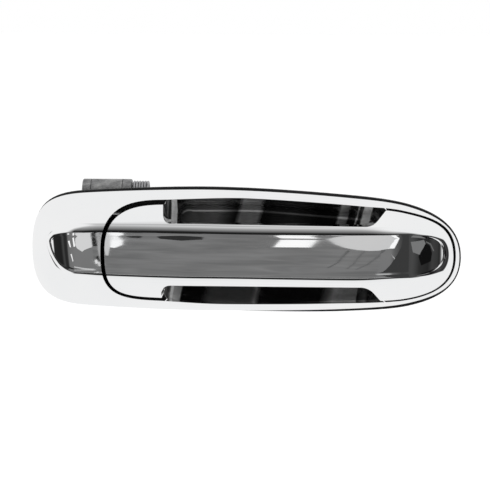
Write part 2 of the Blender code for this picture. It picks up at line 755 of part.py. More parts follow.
def build_screws(kit, mats):
    for number, centre in enumerate(BEZEL_SCREWS, 1):
        head = -FLANGE_H[0] + 0.4 + 1.8
        made = kit.part(f"bezel_screw_{number}", screw(centre, head, -10.8, 2.9, 1.3), mats["steel"])
        cross_recess(kit, made, centre, head, 1.6)
    for number, centre in enumerate(GRIP_SCREWS, 1):
        head = -GRIP_BACK_H - 0.4 + 0.3 + 1.8
        made = kit.part(f"grip_screw_{number}", screw(centre, head, -22.5, 3.0, 1.5), mats["steel"])
        cross_recess(kit, made, centre, head, 1.7)
    for number, centre in enumerate(BOWL_SCREWS, 1):
        head = 17.4 + 0.3 + 1.8
        made = kit.part(f"bowl_screw_{number}", screw(centre, head, 13.4, 2.8, 1.3), mats["steel"])
        cross_recess(kit, made, centre, head, 1.6)


def build_studs(kit, mats):
    for name, (x, z, start) in STUDS.items():
        spans = [(start + GAP, STUD_R), (STUD_END_Y - 1, STUD_R), (STUD_END_Y, STUD_R - 1)]
        kit.part(name, rod("Y", (x, 0, z), spans), mats["steel"])


def main():
    clear_scene()
    kit = Kit(new_collection("door_handle"), new_collection("cutters"))
    kit.cutters.hide_render = True
    mats = materials()
    build_bezel(kit, mats)
    build_bowl(kit, mats)
    build_grip_cover(kit, mats)
    build_grip_core(kit, mats)
    build_chassis(kit, mats)
    build_gasket(kit, mats)
    build_bumpers(kit, mats)
    build_bellcrank(kit, mats)
    build_counterweight(kit, mats)
    build_rod_clip(kit, mats)
    build_spring(kit, mats)
    build_pins(kit, mats)
    build_screws(kit, mats)
    build_studs(kit, mats)


main()
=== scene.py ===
"""Finished look of the door handle: fine meshes, materials, studio and camera."""

import json
import math

import bmesh
import bpy
from mathutils import Matrix, Vector

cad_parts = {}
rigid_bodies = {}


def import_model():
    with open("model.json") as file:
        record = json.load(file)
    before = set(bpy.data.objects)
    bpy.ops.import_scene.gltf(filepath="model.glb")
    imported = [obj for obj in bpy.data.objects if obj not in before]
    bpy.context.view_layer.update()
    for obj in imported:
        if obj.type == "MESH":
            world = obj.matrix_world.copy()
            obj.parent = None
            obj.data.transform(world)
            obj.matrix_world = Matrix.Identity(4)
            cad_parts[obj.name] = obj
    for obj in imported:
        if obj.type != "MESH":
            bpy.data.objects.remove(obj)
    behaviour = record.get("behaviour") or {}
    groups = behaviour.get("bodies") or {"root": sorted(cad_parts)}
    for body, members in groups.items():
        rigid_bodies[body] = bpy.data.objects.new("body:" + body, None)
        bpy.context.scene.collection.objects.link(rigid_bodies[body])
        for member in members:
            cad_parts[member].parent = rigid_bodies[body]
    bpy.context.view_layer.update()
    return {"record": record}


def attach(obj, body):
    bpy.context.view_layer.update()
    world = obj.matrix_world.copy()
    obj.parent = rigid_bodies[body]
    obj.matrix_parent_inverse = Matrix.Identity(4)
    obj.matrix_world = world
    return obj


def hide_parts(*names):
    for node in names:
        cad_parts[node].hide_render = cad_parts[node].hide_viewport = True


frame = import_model()

MM = 0.001

# Free edge nodes: x, z, direction of travel in degrees, handle length before, handle length after.
# Every loop runs clockwise as seen from outside the door, starting at the latch end.
RIM = [
    (-110.3, 1.2, 90, 19.5, 20),
    (-84, 30.0, 4, 20, 12),
    (-22, 32.1, 0, 22, 24),
    (54, 28.3, -5, 24, 10),
    (84, 24.0, -16, 9, 16),
    (110.3, -2.3, -90, 14.8, 14),
    (84, -26.5, 193, 17, 9),
    (54, -29.6, 183, 10, 24),
    (-22, -30.7, 180, 24, 22),
    (-84, -28.3, 176, 12, 19),
]
BAND_FOOT = [
    (-101.0, 6.8, 95, 10, 3.0),
    (-86, 15.7, 1, 8.5, 14),
    (-22, 15.4, -1, 20, 24),
    (54, 15.0, 0, 24, 10),
    (88, 14.2, -5, 10, 11),
    (105, 0.3, -91, 9, 8),
    (88, -12.8, 184, 11, 10),
    (54, -14.4, 180, 10, 24),
    (-22, -14.0, 180, 24, 20),
    (-86, -12.4, 178, 14, 5),
]
BAND_EDGE = [
    (-98.4, 6.0, 99, 9, 2.4),
    (-86, 10.9, 1, 8, 14),
    (-22, 10.8, -1, 20, 24),
    (54, 10.5, 0, 24, 10),
    (86, 11.2, -1, 10, 11),
    (102, 0.8, -92, 8, 6),
    (86, -9.2, 182, 11, 10),
    (54, -10.1, 180, 10, 24),
    (-22, -9.7, 180, 24, 20),
    (-86, -8.2, 178, 14, 4.5),
]
POCKET = [
    (-72.6, 2.0, 90, 22, 19),
    (-44, 27.2, 1, 20.5, 12),
    (2, 28.1, -2, 14, 15),
    (60, 24.5, -5, 15, 8),
    (82, 22.2, -12, 8, 18),
    (108.4, -1.0, -90, 14.5, 13),
    (82, -24.1, 189, 18, 8),
    (40, -25.9, 182, 14, 14),
    (-10, -26.6, 180, 14, 14),
    (-46, -24.8, 178, 12, 21),
]
GRIP = [
    (-70.5, 2.0, 90, 21, 17.5),
    (-42, 25.0, 1, 20.5, 12),
    (2, 26.2, -2, 14, 15),
    (60, 23.5, -5, 15, 8),
    (82, 21.2, -12, 8, 17),
    (107.2, -1.0, -90, 14, 12.5),
    (82, -23.1, 189, 17, 8),
    (40, -24.9, 182, 14, 14),
    (-10, -25.0, 180, 14, 14),
    (-46, -22.9, 178, 12, 20),
]
# How far the black base stands out past the bezel's rim at each node of RIM.
BASE_PROUD = [-0.2, 0.9, 1.1, 1.0, 0.8, 0.5, 1.0, 0.8, -0.1, -0.3]

# Corners of the two finger windows: x, z, radius.
UPPER_WINDOW = [(92, 45, 0), (66.5, 15.4, 8), (-40.5, 16.4, 4), (-44, 45, 0)]
LOWER_WINDOW = [(-43, -45, 0), (-42.0, -15.6, 5), (64.5, -15.8, 8), (84, -45, 0)]
BOWL = [
    (-40.5, 27.4, 7),
    (4, 27.8, 200),
    (72.5, 22.8, 7),
    (72.5, -24.4, 7),
    (20, -26.4, 200),
    (-40.5, -26.2, 7),
]
REAR_TUB = [(-102, 22, 14), (-42, 23, 3), (-42, -22, 3), (-102, -20, 13)]
FRONT_TUB = [
    (74, 17.5, 3),
    (89, 16, 25),
    (103.5, 9.5, 9),
    (103.5, -11.5, 9),
    (89, -18.5, 25),
    (74, -20, 3),
]

BAND_H = 28.0
FOOT_H = 26.0
RIM_H = 3.9
CROWN = 0.8
# Where the band and the flank's foot start to fall at each end: x, drop, length of the fall.
BAND_ENDS = ((72, 14, 32), (-80, 9, 20))
FOOT_ENDS = ((60, 11, 46), (-70, 9, 33))
DOME_POWER = 1.15
FLANK_POWER = 2.0
SKIN = 2.4
GAP = 0.3

GRIP_BACK_H = 7.0
STRAP_BACK_H = 14.5
BOWL_FLOOR_Y = 11.5
BOWL_SKIN = 1.5
FLANGE_H = (1.9, 3.6)
GASKET_T = 1.6

HINGE_X = 90.0
HINGE_Y = -5.0
EYE_R = 4.4
EAR_Z = (3.4, 6.6)
LUG_Z = (7.0, 9.8)
BORE_R = 2.09
RIVET_X = (-75.5, -69.5)
CRANK_Y = 20.0
CRANK_Z = 25.0
CLIP_REACH = 17.1
CLIP_TURN = -20.6
FINGER_REACH = 23.75
FINGER_TURN = -59.7
STUDS = {"stud_rear": (-94.0, 0.0, 5.0), "stud_front": (82.0, 0.0, 6.0)}
STUD_R = 3.0
STUD_END_Y = 32.0
BUMPER_X = -66.0
BUMPERS = (("bumper_upper", 11.5), ("bumper_lower", -11.5))
BEZEL_SCREWS = [(-91.0, 14.0), (-91.0, -11.5)]
GRIP_SCREWS = [(-46.0, 0.5), (80.0, 0.0)]
RAIL_Z = 12.5
BOWL_SCREWS = [(-20.0, RAIL_Z), (45.0, -RAIL_Z)]

STEPS = 18
SIDES = 40
SHARP_ANGLE = 32
SHARPEST_MITRE = 0.4


# ---------------------------------------------------------------- outlines


def bezier_loop(nodes):
    points = []
    for first, second in zip(nodes, nodes[1:] + nodes[:1]):
        a = Vector(first[:2])
        d = Vector(second[:2])
        turn_a = math.radians(first[2])
        turn_d = math.radians(second[2])
        b = a + first[4] * Vector((math.cos(turn_a), math.sin(turn_a)))
        c = d - second[3] * Vector((math.cos(turn_d), math.sin(turn_d)))
        for i in range(STEPS):
            t = i / STEPS
            s = 1 - t
            points.append(s**3 * a + 3 * s * s * t * b + 3 * s * t * t * c + t**3 * d)
    return points


def rounded(corners, steps=16):
    """A polygon with each corner rounded by its radius."""
    points = []
    count = len(corners)
    for i, (x, z, radius) in enumerate(corners):
        here = Vector((x, z))
        before = (Vector(corners[i - 1][:2]) - here).normalized()
        after = (Vector(corners[(i + 1) % count][:2]) - here).normalized()
        if radius == 0:
            points.append(here)
            continue
        half = before.angle(after) / 2
        reach = radius / math.tan(half)
        centre = here + (before + after).normalized() * radius / math.sin(half)
        start = here + before * reach - centre
        end = here + after * reach - centre
        sweep = start.angle_signed(end)
        for k in range(steps + 1):
            turn = -sweep * k / steps
            points.append(centre + Matrix.Rotation(turn, 2) @ start)
    return points


def inset(points, distance):
    """The same outline moved inwards, or outwards if the distance is negative."""
    moved = []
    count = len(points)
    for i, point in enumerate(points):
        a = (point - points[i - 1]).normalized()
        b = (points[(i + 1) % count] - point).normalized()
        mean = (a + b).normalized()
        inward = Vector((mean.y, -mean.x))
        moved.append(point + inward * distance / max(mean.dot(a), SHARPEST_MITRE))
    return moved


def arc(u, v, radius, start, end, steps=10):
    """Points on a circle about (u, v), from start to end degrees."""
    angles = [math.radians(start + (end - start) * i / steps) for i in range(steps + 1)]
    return [(u + radius * math.cos(angle), v + radius * math.sin(angle)) for angle in angles]


def ring_between(outer, inner, share, heights):
    """The ring a share of the way from one outline to another, at a height for each point."""
    return [
        (o.x + (i.x - o.x) * share, -h, o.y + (i.y - o.y) * share)
        for o, i, h in zip(outer, inner, heights)
    ]


# ---------------------------------------------------------------- solids


def new_collection(name):
    collection = bpy.data.collections.new(name)
    bpy.context.scene.collection.children.link(collection)
    return collection


def add_object(name, mesh_data, collection):
    mesh = bpy.data.meshes.new(name)
    mesh_data.to_mesh(mesh)
    mesh_data.free()
    obj = bpy.data.objects.new(name, mesh)
    collection.objects.link(obj)
    return obj


def closed(bm):
    bmesh.ops.remove_doubles(bm, verts=bm.verts, dist=1e-7)
    bmesh.ops.recalc_face_normals(bm, faces=bm.faces)
    return bm


def skin_rings(bm, rings):
    """Faces from each ring of points to the next, and over the first. Points are in millimetres."""
    rows = [[bm.verts.new(Vector(p) * MM) for p in ring] for ring in rings]
    count = len(rows[0])
    for low, high in zip(rows, rows[1:]):
        for i in range(count):
            j = (i + 1) % count
            bm.faces.new((low[i], low[j], high[j], high[i]))
    bm.faces.new(rows[0])
    return rows


def loft(rings):
    """A closed solid through rings of equal count, capped at both ends."""
    bm = bmesh.new()
    bm.faces.new(skin_rings(bm, rings)[-1])
    return closed(bm)


def prism(outline, y0, y1):
    return loft([[(p.x, y, p.y) for p in outline] for y in (y0, y1)])


def side_prism(outline, x0, x1):
    """An outline of (y, z) points, extruded along X."""
    return loft([[(x, p[0], p[1]) for p in outline] for x in (x0, x1)])


def box(x0, x1, y0, y1, z0, z1):
    corners = [(x0, z0), (x0, z1), (x1, z1), (x1, z0)]
    return prism([Vector(c) for c in corners], y0, y1)


def rod(axis, centre, spans, sides=SIDES):
    """A turned shape along X, Y or Z: spans is a list of (position along the axis, radius)."""
    turn = {
        "X": lambda a, u, v: (a, centre[1] + u, centre[2] + v),
        "Y": lambda a, u, v: (centre[0] + u, a, centre[2] + v),
        "Z": lambda a, u, v: (centre[0] + u, centre[1] + v, a),
    }[axis]
    rings = []
    for along, radius in spans:
        ring = []
        for i in range(sides):
            angle = 2 * math.pi * i / sides
            ring.append(turn(along, radius * math.cos(angle), radius * math.sin(angle)))
        rings.append(ring)
    return loft(rings)


def rod_y(x, z, y0, y1, radius, sides=24):
    """A plain rod along Y."""
    return rod("Y", (x, 0, z), [(y0, radius), (y1, radius)], sides)


def across(edge, rows, heights):
    """Rows of points between an edge loop's upper and lower halves, from one end to the other."""
    count = len(edge)
    result = []
    for k in range(1, count // 2):
        top = edge[k]
        low = edge[count - k]
        half = abs(top.y - low.y) / 2
        row = []
        for r in range(1, rows):
            share = r / rows
            x = top.x + (low.x - top.x) * share
            z = top.y + (low.y - top.y) * share
            h = heights[k] + (heights[count - k] - heights[k]) * share
            bulge = CROWN * min(1, half / 10) ** 2 * (1 - (2 * share - 1) ** 2)
            row.append((x, -(h + bulge), z))
        result.append(row)
    return result


def falling(height, x, ends):
    """A height that falls off as a quarter ellipse beyond each end."""
    (right, right_drop, right_run), (left, left_drop, left_run) = ends
    if x > right:
        return height - right_drop * (1 - math.sqrt(1 - ((x - right) / right_run) ** 2))
    if x < left:
        return height - left_drop * (1 - math.sqrt(1 - ((left - x) / left_run) ** 2))
    return height


def band_height(x):
    return falling(BAND_H, x, BAND_ENDS)


def master_solid(depth, floor_h, dome_rings=22, flank_rings=14, rows=18):
    """The handle's whole outer shape down to floor_h, moved inwards by depth."""
    rim = inset(bezier_loop(RIM), depth)
    foot = inset(bezier_loop(BAND_FOOT), depth * 0.6)
    edge = inset(bezier_loop(BAND_EDGE), depth * 0.5)
    foot_h = [falling(FOOT_H, p.x, FOOT_ENDS) - depth for p in foot]
    edge_h = [band_height(p.x) - depth for p in edge]
    rings = []
    if floor_h < RIM_H:
        rings.append(ring_between(rim, foot, 0, [floor_h] * len(rim)))
    for i in range(dome_rings):
        turn = math.pi / 2 * i / dome_rings
        share = 1 - math.cos(turn) ** (2 / DOME_POWER)
        rise = math.sin(turn) ** (2 / DOME_POWER)
        heights = [RIM_H + (h - RIM_H) * rise for h in foot_h]
        rings.append(ring_between(rim, foot, share, heights))
    for i in range(flank_rings):
        share = i / flank_rings
        fall = (1 - share) ** FLANK_POWER
        heights = [e - (e - f) * fall for e, f in zip(edge_h, foot_h)]
        rings.append(ring_between(foot, edge, share, heights))
    rings.append([(p.x, -h, p.y) for p, h in zip(edge, edge_h)])
    bm = bmesh.new()
    top = skin_rings(bm, rings)[-1]
    count = len(top)
    half = count // 2
    middle = across(edge, rows, edge_h)
    lines = [[top[0]]]
    for k in range(1, half):
        inner = [bm.verts.new(Vector(p) * MM) for p in middle[k - 1]]
        lines.append([top[k]] + inner + [top[count - k]])
    lines.append([top[half]])
    for a, b in zip(lines, lines[1:]):
        if len(a) == 1:
            for r in range(rows):
                bm.faces.new((a[0], b[r], b[r + 1]))
        elif len(b) == 1:
            for r in range(rows):
                bm.faces.new((a[r], b[0], a[r + 1]))
        else:
            for r in range(rows):
                bm.faces.new((a[r], b[r], b[r + 1], a[r + 1]))
    bm = closed(bm)
    if floor_h > RIM_H:
        plane = bmesh.ops.bisect_plane(
            bm,
            geom=bm.verts[:] + bm.edges[:] + bm.faces[:],
            plane_co=(0, -floor_h * MM, 0),
            plane_no=(0, 1, 0),
            clear_outer=True,
        )
        rim_edges = [e for e in plane["geom_cut"] if isinstance(e, bmesh.types.BMEdge)]
        bmesh.ops.holes_fill(bm, edges=rim_edges)
        bm = closed(bm)
    return bm


class Kit:
    """Adds parts, and the hidden shapes that cut or join them."""

    def __init__(self, parts, cutters):
        self.parts = parts
        self.cutters = cutters
        self.count = 0

    def part(self, name, bm, material):
        obj = add_object("fine_" + name, bm, self.parts)
        obj.data.materials.append(material)
        return obj

    def helper(self, bm):
        self.count += 1
        return add_object(f"tool_{self.count}", bm, self.cutters)

    def boolean(self, obj, other, operation):
        if isinstance(other, bmesh.types.BMesh):
            other = self.helper(other)
        modifier = obj.modifiers.new(f"{operation.lower()}_{len(obj.modifiers)}", "BOOLEAN")
        modifier.operation = operation
        modifier.solver = "EXACT"
        modifier.object = other

    def cut(self, obj, *others):
        for other in others:
            self.boolean(obj, other, "DIFFERENCE")

    def join(self, obj, *others):
        for other in others:
            self.boolean(obj, other, "UNION")

    def keep(self, obj, other):
        self.boolean(obj, other, "INTERSECT")


# ---------------------------------------------------------------- bezel and bowl


def build_bezel(kit, mats):
    bezel = kit.part("bezel", master_solid(0, RIM_H), mats["chrome"])
    kit.cut(bezel, prism(bezier_loop(POCKET), -45, 5))
    hollow = kit.helper(master_solid(SKIN, RIM_H - 2))
    kit.cut(hollow, box(-76, 130, -45, 10, -50, 50))
    kit.cut(bezel, hollow)
    for x, z in BEZEL_SCREWS:
        kit.join(bezel, rod("Y", (x, 0, z), [(-RIM_H, 3.4), (-14, 3.4), (-21.8, 1.6)], 32))
    for x, z in BEZEL_SCREWS:
        kit.cut(bezel, rod_y(x, z, -RIM_H + 1, -12, 1.5))


def bowl_ring(depth):
    """The bowl's outline moved inwards, with its corner radii easing off."""
    corners = inset([Vector(corner[:2]) for corner in BOWL], depth)
    radii = [radius if radius > 50 else max(2.5, radius - 0.35 * depth) for *_, radius in BOWL]
    return rounded([(p.x, p.y, radius) for p, radius in zip(corners, radii)])


def build_bowl(kit, mats):
    """A pressed pan, widest at its mouth behind the bezel's lip."""
    steps = [(-3.5, 0.0), (-1.5, 1.6), (2, 3.4), (7, 5.0), (8.4, 5.6), (9.6, 6.6), (10.5, 7.9)]
    steps += [(11.1, 9.2), (11.45, 10.4), (BOWL_FLOOR_Y, 11.6)]
    inner = [[(p.x, y, p.y) for p in bowl_ring(d)] for y, d in steps]
    steps = [(-3.5, -BOWL_SKIN), (-1.2, 0.0), (2.2, 1.9), (7.2, 3.5), (10.4, 5.4), (12.3, 8.4)]
    steps.append((BOWL_FLOOR_Y + BOWL_SKIN, 11.6))
    outer = [[(p.x, y, p.y) for p in bowl_ring(d)] for y, d in steps]
    bowl = kit.part("finger_bowl", loft(outer), mats["bowl"])
    lifted = [[(x, -5.0, z) for x, _, z in inner[0]]] + inner
    kit.cut(bowl, loft(lifted))
    for x, z in BOWL_SCREWS:
        kit.join(bowl, rod_y(x, z, 12.2, 13.1, 3.2, 32))


# ---------------------------------------------------------------- grip


def trim_to_grip(kit, obj, depth):
    """Cuts a shape to the grip's outline and opens both finger windows, with depth to spare."""
    kit.keep(obj, prism(inset(bezier_loop(GRIP), depth), -45, 10))
    for window in (UPPER_WINDOW, LOWER_WINDOW):
        kit.cut(obj, prism(inset(rounded(window), -depth), -50, 15))


def build_grip_cover(kit, mats):
    cover = kit.part("grip_cover", master_solid(0, GRIP_BACK_H), mats["chrome"])
    trim_to_grip(kit, cover, 0)
    kit.cut(cover, box(-37.5, 62, -STRAP_BACK_H, 10, -30, 30))
    space = kit.helper(master_solid(SKIN, 0))
    trim_to_grip(kit, space, SKIN)
    kit.cut(cover, space)
    for x, z in GRIP_SCREWS:
        kit.join(cover, rod_y(x, z, -17, -26.8, 3.4, 32))
        kit.cut(cover, rod_y(x, z, -16, -23.5, 1.7))


def build_grip_core(kit, mats):
    depth = SKIN + GAP
    core = kit.part("grip_core", master_solid(depth, GRIP_BACK_H + 0.4), mats["nylon"])
    trim_to_grip(kit, core, depth)
    kit.cut(core, box(-36.5, 61, -STRAP_BACK_H - 0.8, 10, -30, 30))
    kit.cut(core, box(HINGE_X - 7.5, HINGE_X + 8, -11.2, 10, -LUG_Z[0] + 0.1, LUG_Z[0] - 0.1))
    kit.cut(core, box(HINGE_X - 4.2, HINGE_X + 4.2, -8.6, 10, -25, 25))
    for z0, z1 in (LUG_Z, (-LUG_Z[1], -LUG_Z[0])):
        kit.join(core, hinge_eye(-10.5, 0, z0, z1))
    kit.cut(core, rod("Z", (HINGE_X, HINGE_Y, 0), [(-20, BORE_R), (20, BORE_R)]))
    kit.join(core, box(-56, -52, -9, 39.3, -4, 9))
    kit.join(core, box(-52.7, -47.2, 35.3, 39.3, -4, 3.0))
    for x, z in GRIP_SCREWS:
        kit.cut(core, rod_y(x, z, -16.6, -28, 3.8, 32))
        kit.cut(core, rod_y(x, z, -5, -20, 1.9))


def z_prism(outline, z0, z1):
    """An outline of (x, y) points, extruded along Z."""
    return loft([[(p[0], p[1], z) for p in outline] for z in (z0, z1)])


def hinge_eye(root_y, end, z0, z1):
    """A round-ended eye on the hinge's axis. Its arc runs from 180 degrees to end."""
    left = [(HINGE_X - EYE_R, root_y)]
    right = [(HINGE_X + EYE_R, root_y)]
    return z_prism(left + arc(HINGE_X, HINGE_Y, EYE_R, 180, end) + right, z0, z1)


# ---------------------------------------------------------------- chassis and gasket


def base_outline(less=0.0):
    """The black base's outline, drawn in by less."""
    nodes = []
    for (x, z, turn, before, after), proud in zip(RIM, BASE_PROUD):
        angle = math.radians(turn + 90)
        reach = proud - less
        x += reach * math.cos(angle)
        z += reach * math.sin(angle)
        nodes.append((x, z, turn, before, after))
    return bezier_loop(nodes)


def bowl_opening():
    return bowl_ring(-BOWL_SKIN - GAP)


def cheek(x0, x1, boss_r):
    """A wall of the chassis that carries one end of the crank's pin."""
    boss = arc(CRANK_Y, CRANK_Z, boss_r, 180, 0, 8)
    return side_prism([(12.8, 12.0), (12.8, 21.0)] + boss + [(24.4, 19.0), (19.0, 12.0)], x0, x1)


def build_chassis(kit, mats):
    rear = rounded(REAR_TUB)
    front = rounded(FRONT_TUB)
    flange = prism(base_outline(), -FLANGE_H[1], -FLANGE_H[0] + 0.1)
    chassis = kit.part("chassis", flange, mats["nylon"])
    kit.join(chassis, prism(rear, -FLANGE_H[0] - 0.5, 15.4))
    kit.join(chassis, prism(front, -FLANGE_H[0] - 0.5, 10))
    kit.cut(chassis, prism(bowl_opening(), -10, 12.9))
    kit.cut(chassis, prism(inset(rear, 2), -FLANGE_H[0] + 0.1, 13.2))
    kit.cut(chassis, box(-74, -42.6, -10, 1, -19.5, 20.5))
    kit.cut(chassis, prism(inset(front, 2), -10, 8))
    kit.join(chassis, box(73.6, 76.4, 6, 17.4, -16, 15))
    for z in (RAIL_Z, -RAIL_Z):
        kit.join(chassis, box(-44, 75, 13.5, 17.4, z - 3, z + 3))
    kit.join(chassis, box(14, 17, 13.5, 17.0, -14, 14))
    for z0, z1 in (EAR_Z, (-EAR_Z[1], -EAR_Z[0])):
        kit.join(chassis, hinge_eye(9, 360, z0, z1))
    kit.cut(chassis, rod("Z", (HINGE_X, HINGE_Y, 0), [(-10, BORE_R), (10, BORE_R)]))
    kit.join(chassis, cheek(-90, -87, 3.1), cheek(-47, -44, 4.4))
    kit.cut(chassis, rod("X", (0, CRANK_Y, CRANK_Z), [(-86.9, 10.8), (-47.15, 10.8)]))
    kit.cut(chassis, rod("X", (0, CRANK_Y, CRANK_Z), [(-95, 2.2), (-40, 2.2)]))
    kit.cut(chassis, box(-61.6, -46.6, 12, 16, -6, 11))
    kit.cut(chassis, box(-51.8, -46.6, 12, 16, 10, 22))
    for x, z, start in STUDS.values():
        kit.join(chassis, rod_y(x, z, start - 2.0, 17.4, 6.5, SIDES))
        kit.cut(chassis, rod_y(x, z, start, 25, STUD_R + 0.2, SIDES))
    for x, z in BEZEL_SCREWS:
        kit.cut(chassis, rod_y(x, z, -9, 1, 1.6))
        kit.cut(chassis, rod_y(x, z, 12, 16, 3.8, 32))
    for x, z in BOWL_SCREWS:
        kit.cut(chassis, rod_y(x, z, 13, 19, 1.6))
    for _, z in BUMPERS:
        kit.join(chassis, rod("Y", (BUMPER_X, 0, z), [(14, 3.6), (-1.5, 3.0)], 32))
        kit.cut(chassis, rod_y(BUMPER_X, z, -3, 3.5, 1.6))


def build_gasket(kit, mats):
    gasket = kit.part("gasket", prism(base_outline(0.15), -GASKET_T, 0), mats["rubber"])
    kit.cut(gasket, prism(bowl_opening(), -10, 24))
    kit.cut(gasket, prism(inset(rounded(REAR_TUB), -0.4), -10, 10))
    kit.cut(gasket, prism(inset(rounded(FRONT_TUB), -0.4), -10, 10))


def build_bumpers(kit, mats):
    for name, z in BUMPERS:
        spans = [(3.2, 1.4), (-1.8, 1.4), (-1.8, 3.0), (-5.9, 3.0), (-6.7, 2.2)]
        kit.part(name, rod("Y", (BUMPER_X, 0, z), spans, 16), mats["rubber"])


# ---------------------------------------------------------------- crank, spring and rod clip


def build_bellcrank(kit, mats):
    spans = [(-86.2, 9.2), (-85.8, 9.6), (-61.1, 9.6), (-60.7, 9.2)]
    spans += [(-60.7, 5.4), (-51.3, 5.4), (-51.2, 4.4), (-47.4, 4.4)]
    crank = kit.part("bellcrank", rod("X", (0, CRANK_Y, CRANK_Z), spans), mats["zinc"])
    kit.join(crank, arm(-51.2, -47.4, FINGER_REACH, FINGER_TURN, 4.4, 3.0))
    kit.join(crank, arm(-84.9, -82.3, CLIP_REACH, CLIP_TURN, 5.0, 4.2))
    kit.cut(crank, rod("X", (0, CRANK_Y, CRANK_Z), [(-90, BORE_R), (-45, BORE_R)]))
    kit.cut(crank, side_prism(sleeve_outline(-38, 178, 7.4, 11.0), -81.8, -65.2))
    clip_y, clip_z = clip_centre()
    kit.cut(crank, rod("X", (0, clip_y, clip_z), [(-90, 2.12), (-81, 2.12)]))
    for x in RIVET_X:
        kit.cut(crank, rod_y(x, CRANK_Z, CRANK_Y + 5.2, CRANK_Y + 11, 1.4))


def arm(x0, x1, reach, turn, root_r, tip_r):
    """A tapered lever from the crank's axis, turned by degrees from +Y towards +Z."""
    lean = math.asin((root_r - tip_r) / reach)
    side_turn = 90 - math.degrees(lean)
    outline = arc(reach, 0, tip_r, side_turn, -side_turn, 8)
    for side in (-1, 1):
        outline.append((root_r * math.sin(lean), side * root_r * math.cos(lean)))
    c = math.cos(math.radians(turn))
    s = math.sin(math.radians(turn))
    outline = [(CRANK_Y + c * u - s * v, CRANK_Z + s * u + c * v) for u, v in outline]
    return side_prism(outline, x0, x1)


def clip_centre():
    angle = math.radians(CLIP_TURN)
    return CRANK_Y + CLIP_REACH * math.cos(angle), CRANK_Z + CLIP_REACH * math.sin(angle)


def sleeve_outline(start, end, inner_r, outer_r):
    outer = arc(CRANK_Y, CRANK_Z, outer_r, start, end, 18)
    return outer + arc(CRANK_Y, CRANK_Z, inner_r, end, start, 18)


def build_counterweight(kit, mats):
    """A sleeve that wraps half of the crank's hub."""
    outline = sleeve_outline(-35, 175, 7.7, 9.6)
    weight = kit.part("counterweight", side_prism(outline, -81.5, -65.5), mats["zinc"])
    for number, x in enumerate(RIVET_X, 1):
        kit.cut(weight, rod_y(x, CRANK_Z, CRANK_Y + 5, CRANK_Y + 12, 1.4))
        spans = [(5.5, 1.2), (9.9, 1.2), (9.9, 2.2), (10.6, 1.6)]
        rivet = rod("Y", (x, 0, CRANK_Z), [(CRANK_Y + y, radius) for y, radius in spans], 12)
        kit.part(f"counterweight_rivet_{number}", rivet, mats["steel"])


def build_rod_clip(kit, mats):
    y, z = clip_centre()
    block = box(-81.8, -77, y - 3.6, y + 3.6, z - 4.5, z + 4.5)
    clip = kit.part("rod_clip", block, mats["acetal"])
    kit.join(clip, rod("X", (0, y, z), [(-81, 2.04), (-84.9, 2.04), (-84.9, 2.7), (-85.8, 1.9)]))
    kit.cut(clip, rod("Z", (-79.2, y, 0), [(z - 6, 1.3), (z + 6, 1.3)], 24))


def build_spring(kit, mats):
    """A torsion spring beside the crank, with one leg down to the chassis."""
    wire = 0.65
    radius = 8.1
    turns = 5.5
    curve = bpy.data.curves.new("return_spring_path", "CURVE")
    curve.dimensions = "3D"
    curve.bevel_depth = wire * MM
    curve.bevel_resolution = 4
    curve.use_fill_caps = True
    start = -59.7
    end = -52.0
    per_turn = 40
    count = int(turns * per_turn)
    points = []
    for i in range(count + 1):
        angle = 2 * math.pi * i / per_turn
        x = start + (end - start) * i / count
        points.append((x, CRANK_Y + radius * math.cos(angle), CRANK_Z + radius * math.sin(angle)))
    points.append((end, CRANK_Y - radius, CRANK_Z - 2.5))
    points.append((end, CRANK_Y - radius, CRANK_Z - 10.5))
    spline = curve.splines.new("POLY")
    spline.points.add(len(points) - 1)
    for target, point in zip(spline.points, points):
        target.co = (*(Vector(point) * MM), 1)
    helper = bpy.data.objects.new("spring_path", curve)
    kit.cutters.objects.link(helper)
    bpy.context.view_layer.update()
    graph = bpy.context.evaluated_depsgraph_get()
    mesh = bpy.data.meshes.new_from_object(helper.evaluated_get(graph))
    bpy.data.objects.remove(helper)
    bm = bmesh.new()
    bm.from_mesh(mesh)
    kit.part("return_spring", closed(bm), mats["spring"])


# ---------------------------------------------------------------- pins and screws


def build_pins(kit, mats):
    hinge = [(-11.8, 1.8), (-11.6, 2.0), (-11.0, 2.0), (-11.0, 1.5), (-10.1, 1.5), (-10.1, 2.0)]
    hinge += [(10.1, 2.0), (10.1, 3.0), (11.0, 3.0), (11.4, 2.5)]
    kit.part("hinge_pin", rod("Z", (HINGE_X, HINGE_Y, 0), hinge), mats["steel"])
    clip = retaining_ring("Z", (HINGE_X, HINGE_Y, 0), -10.9, -10.2)
    kit.part("hinge_pin_clip", clip, mats["spring"])
    crank = [(-91.9, 2.3), (-91.6, 2.8), (-90.3, 2.8), (-90.3, 2.0), (-43.4, 2.0), (-43.4, 1.5)]
    crank += [(-42.5, 1.5), (-42.5, 2.0), (-41.9, 2.0), (-41.6, 1.7)]
    kit.part("bellcrank_pin", rod("X", (0, CRANK_Y, CRANK_Z), crank), mats["steel"])
    clip = retaining_ring("X", (0, CRANK_Y, CRANK_Z), -43.3, -42.6)
    kit.part("bellcrank_pin_clip", clip, mats["spring"])


def retaining_ring(axis, centre, start, end):
    """An open ring that snaps into a pin's groove."""
    outline = arc(0, 0, 3.3, -140, 140, 14) + arc(0, 0, 1.6, 140, -140, 14)
    if axis == "X":
        return side_prism([(centre[1] + u, centre[2] + v) for u, v in outline], start, end)
    return z_prism([(centre[0] + u, centre[1] - v) for v, u in outline], start, end)


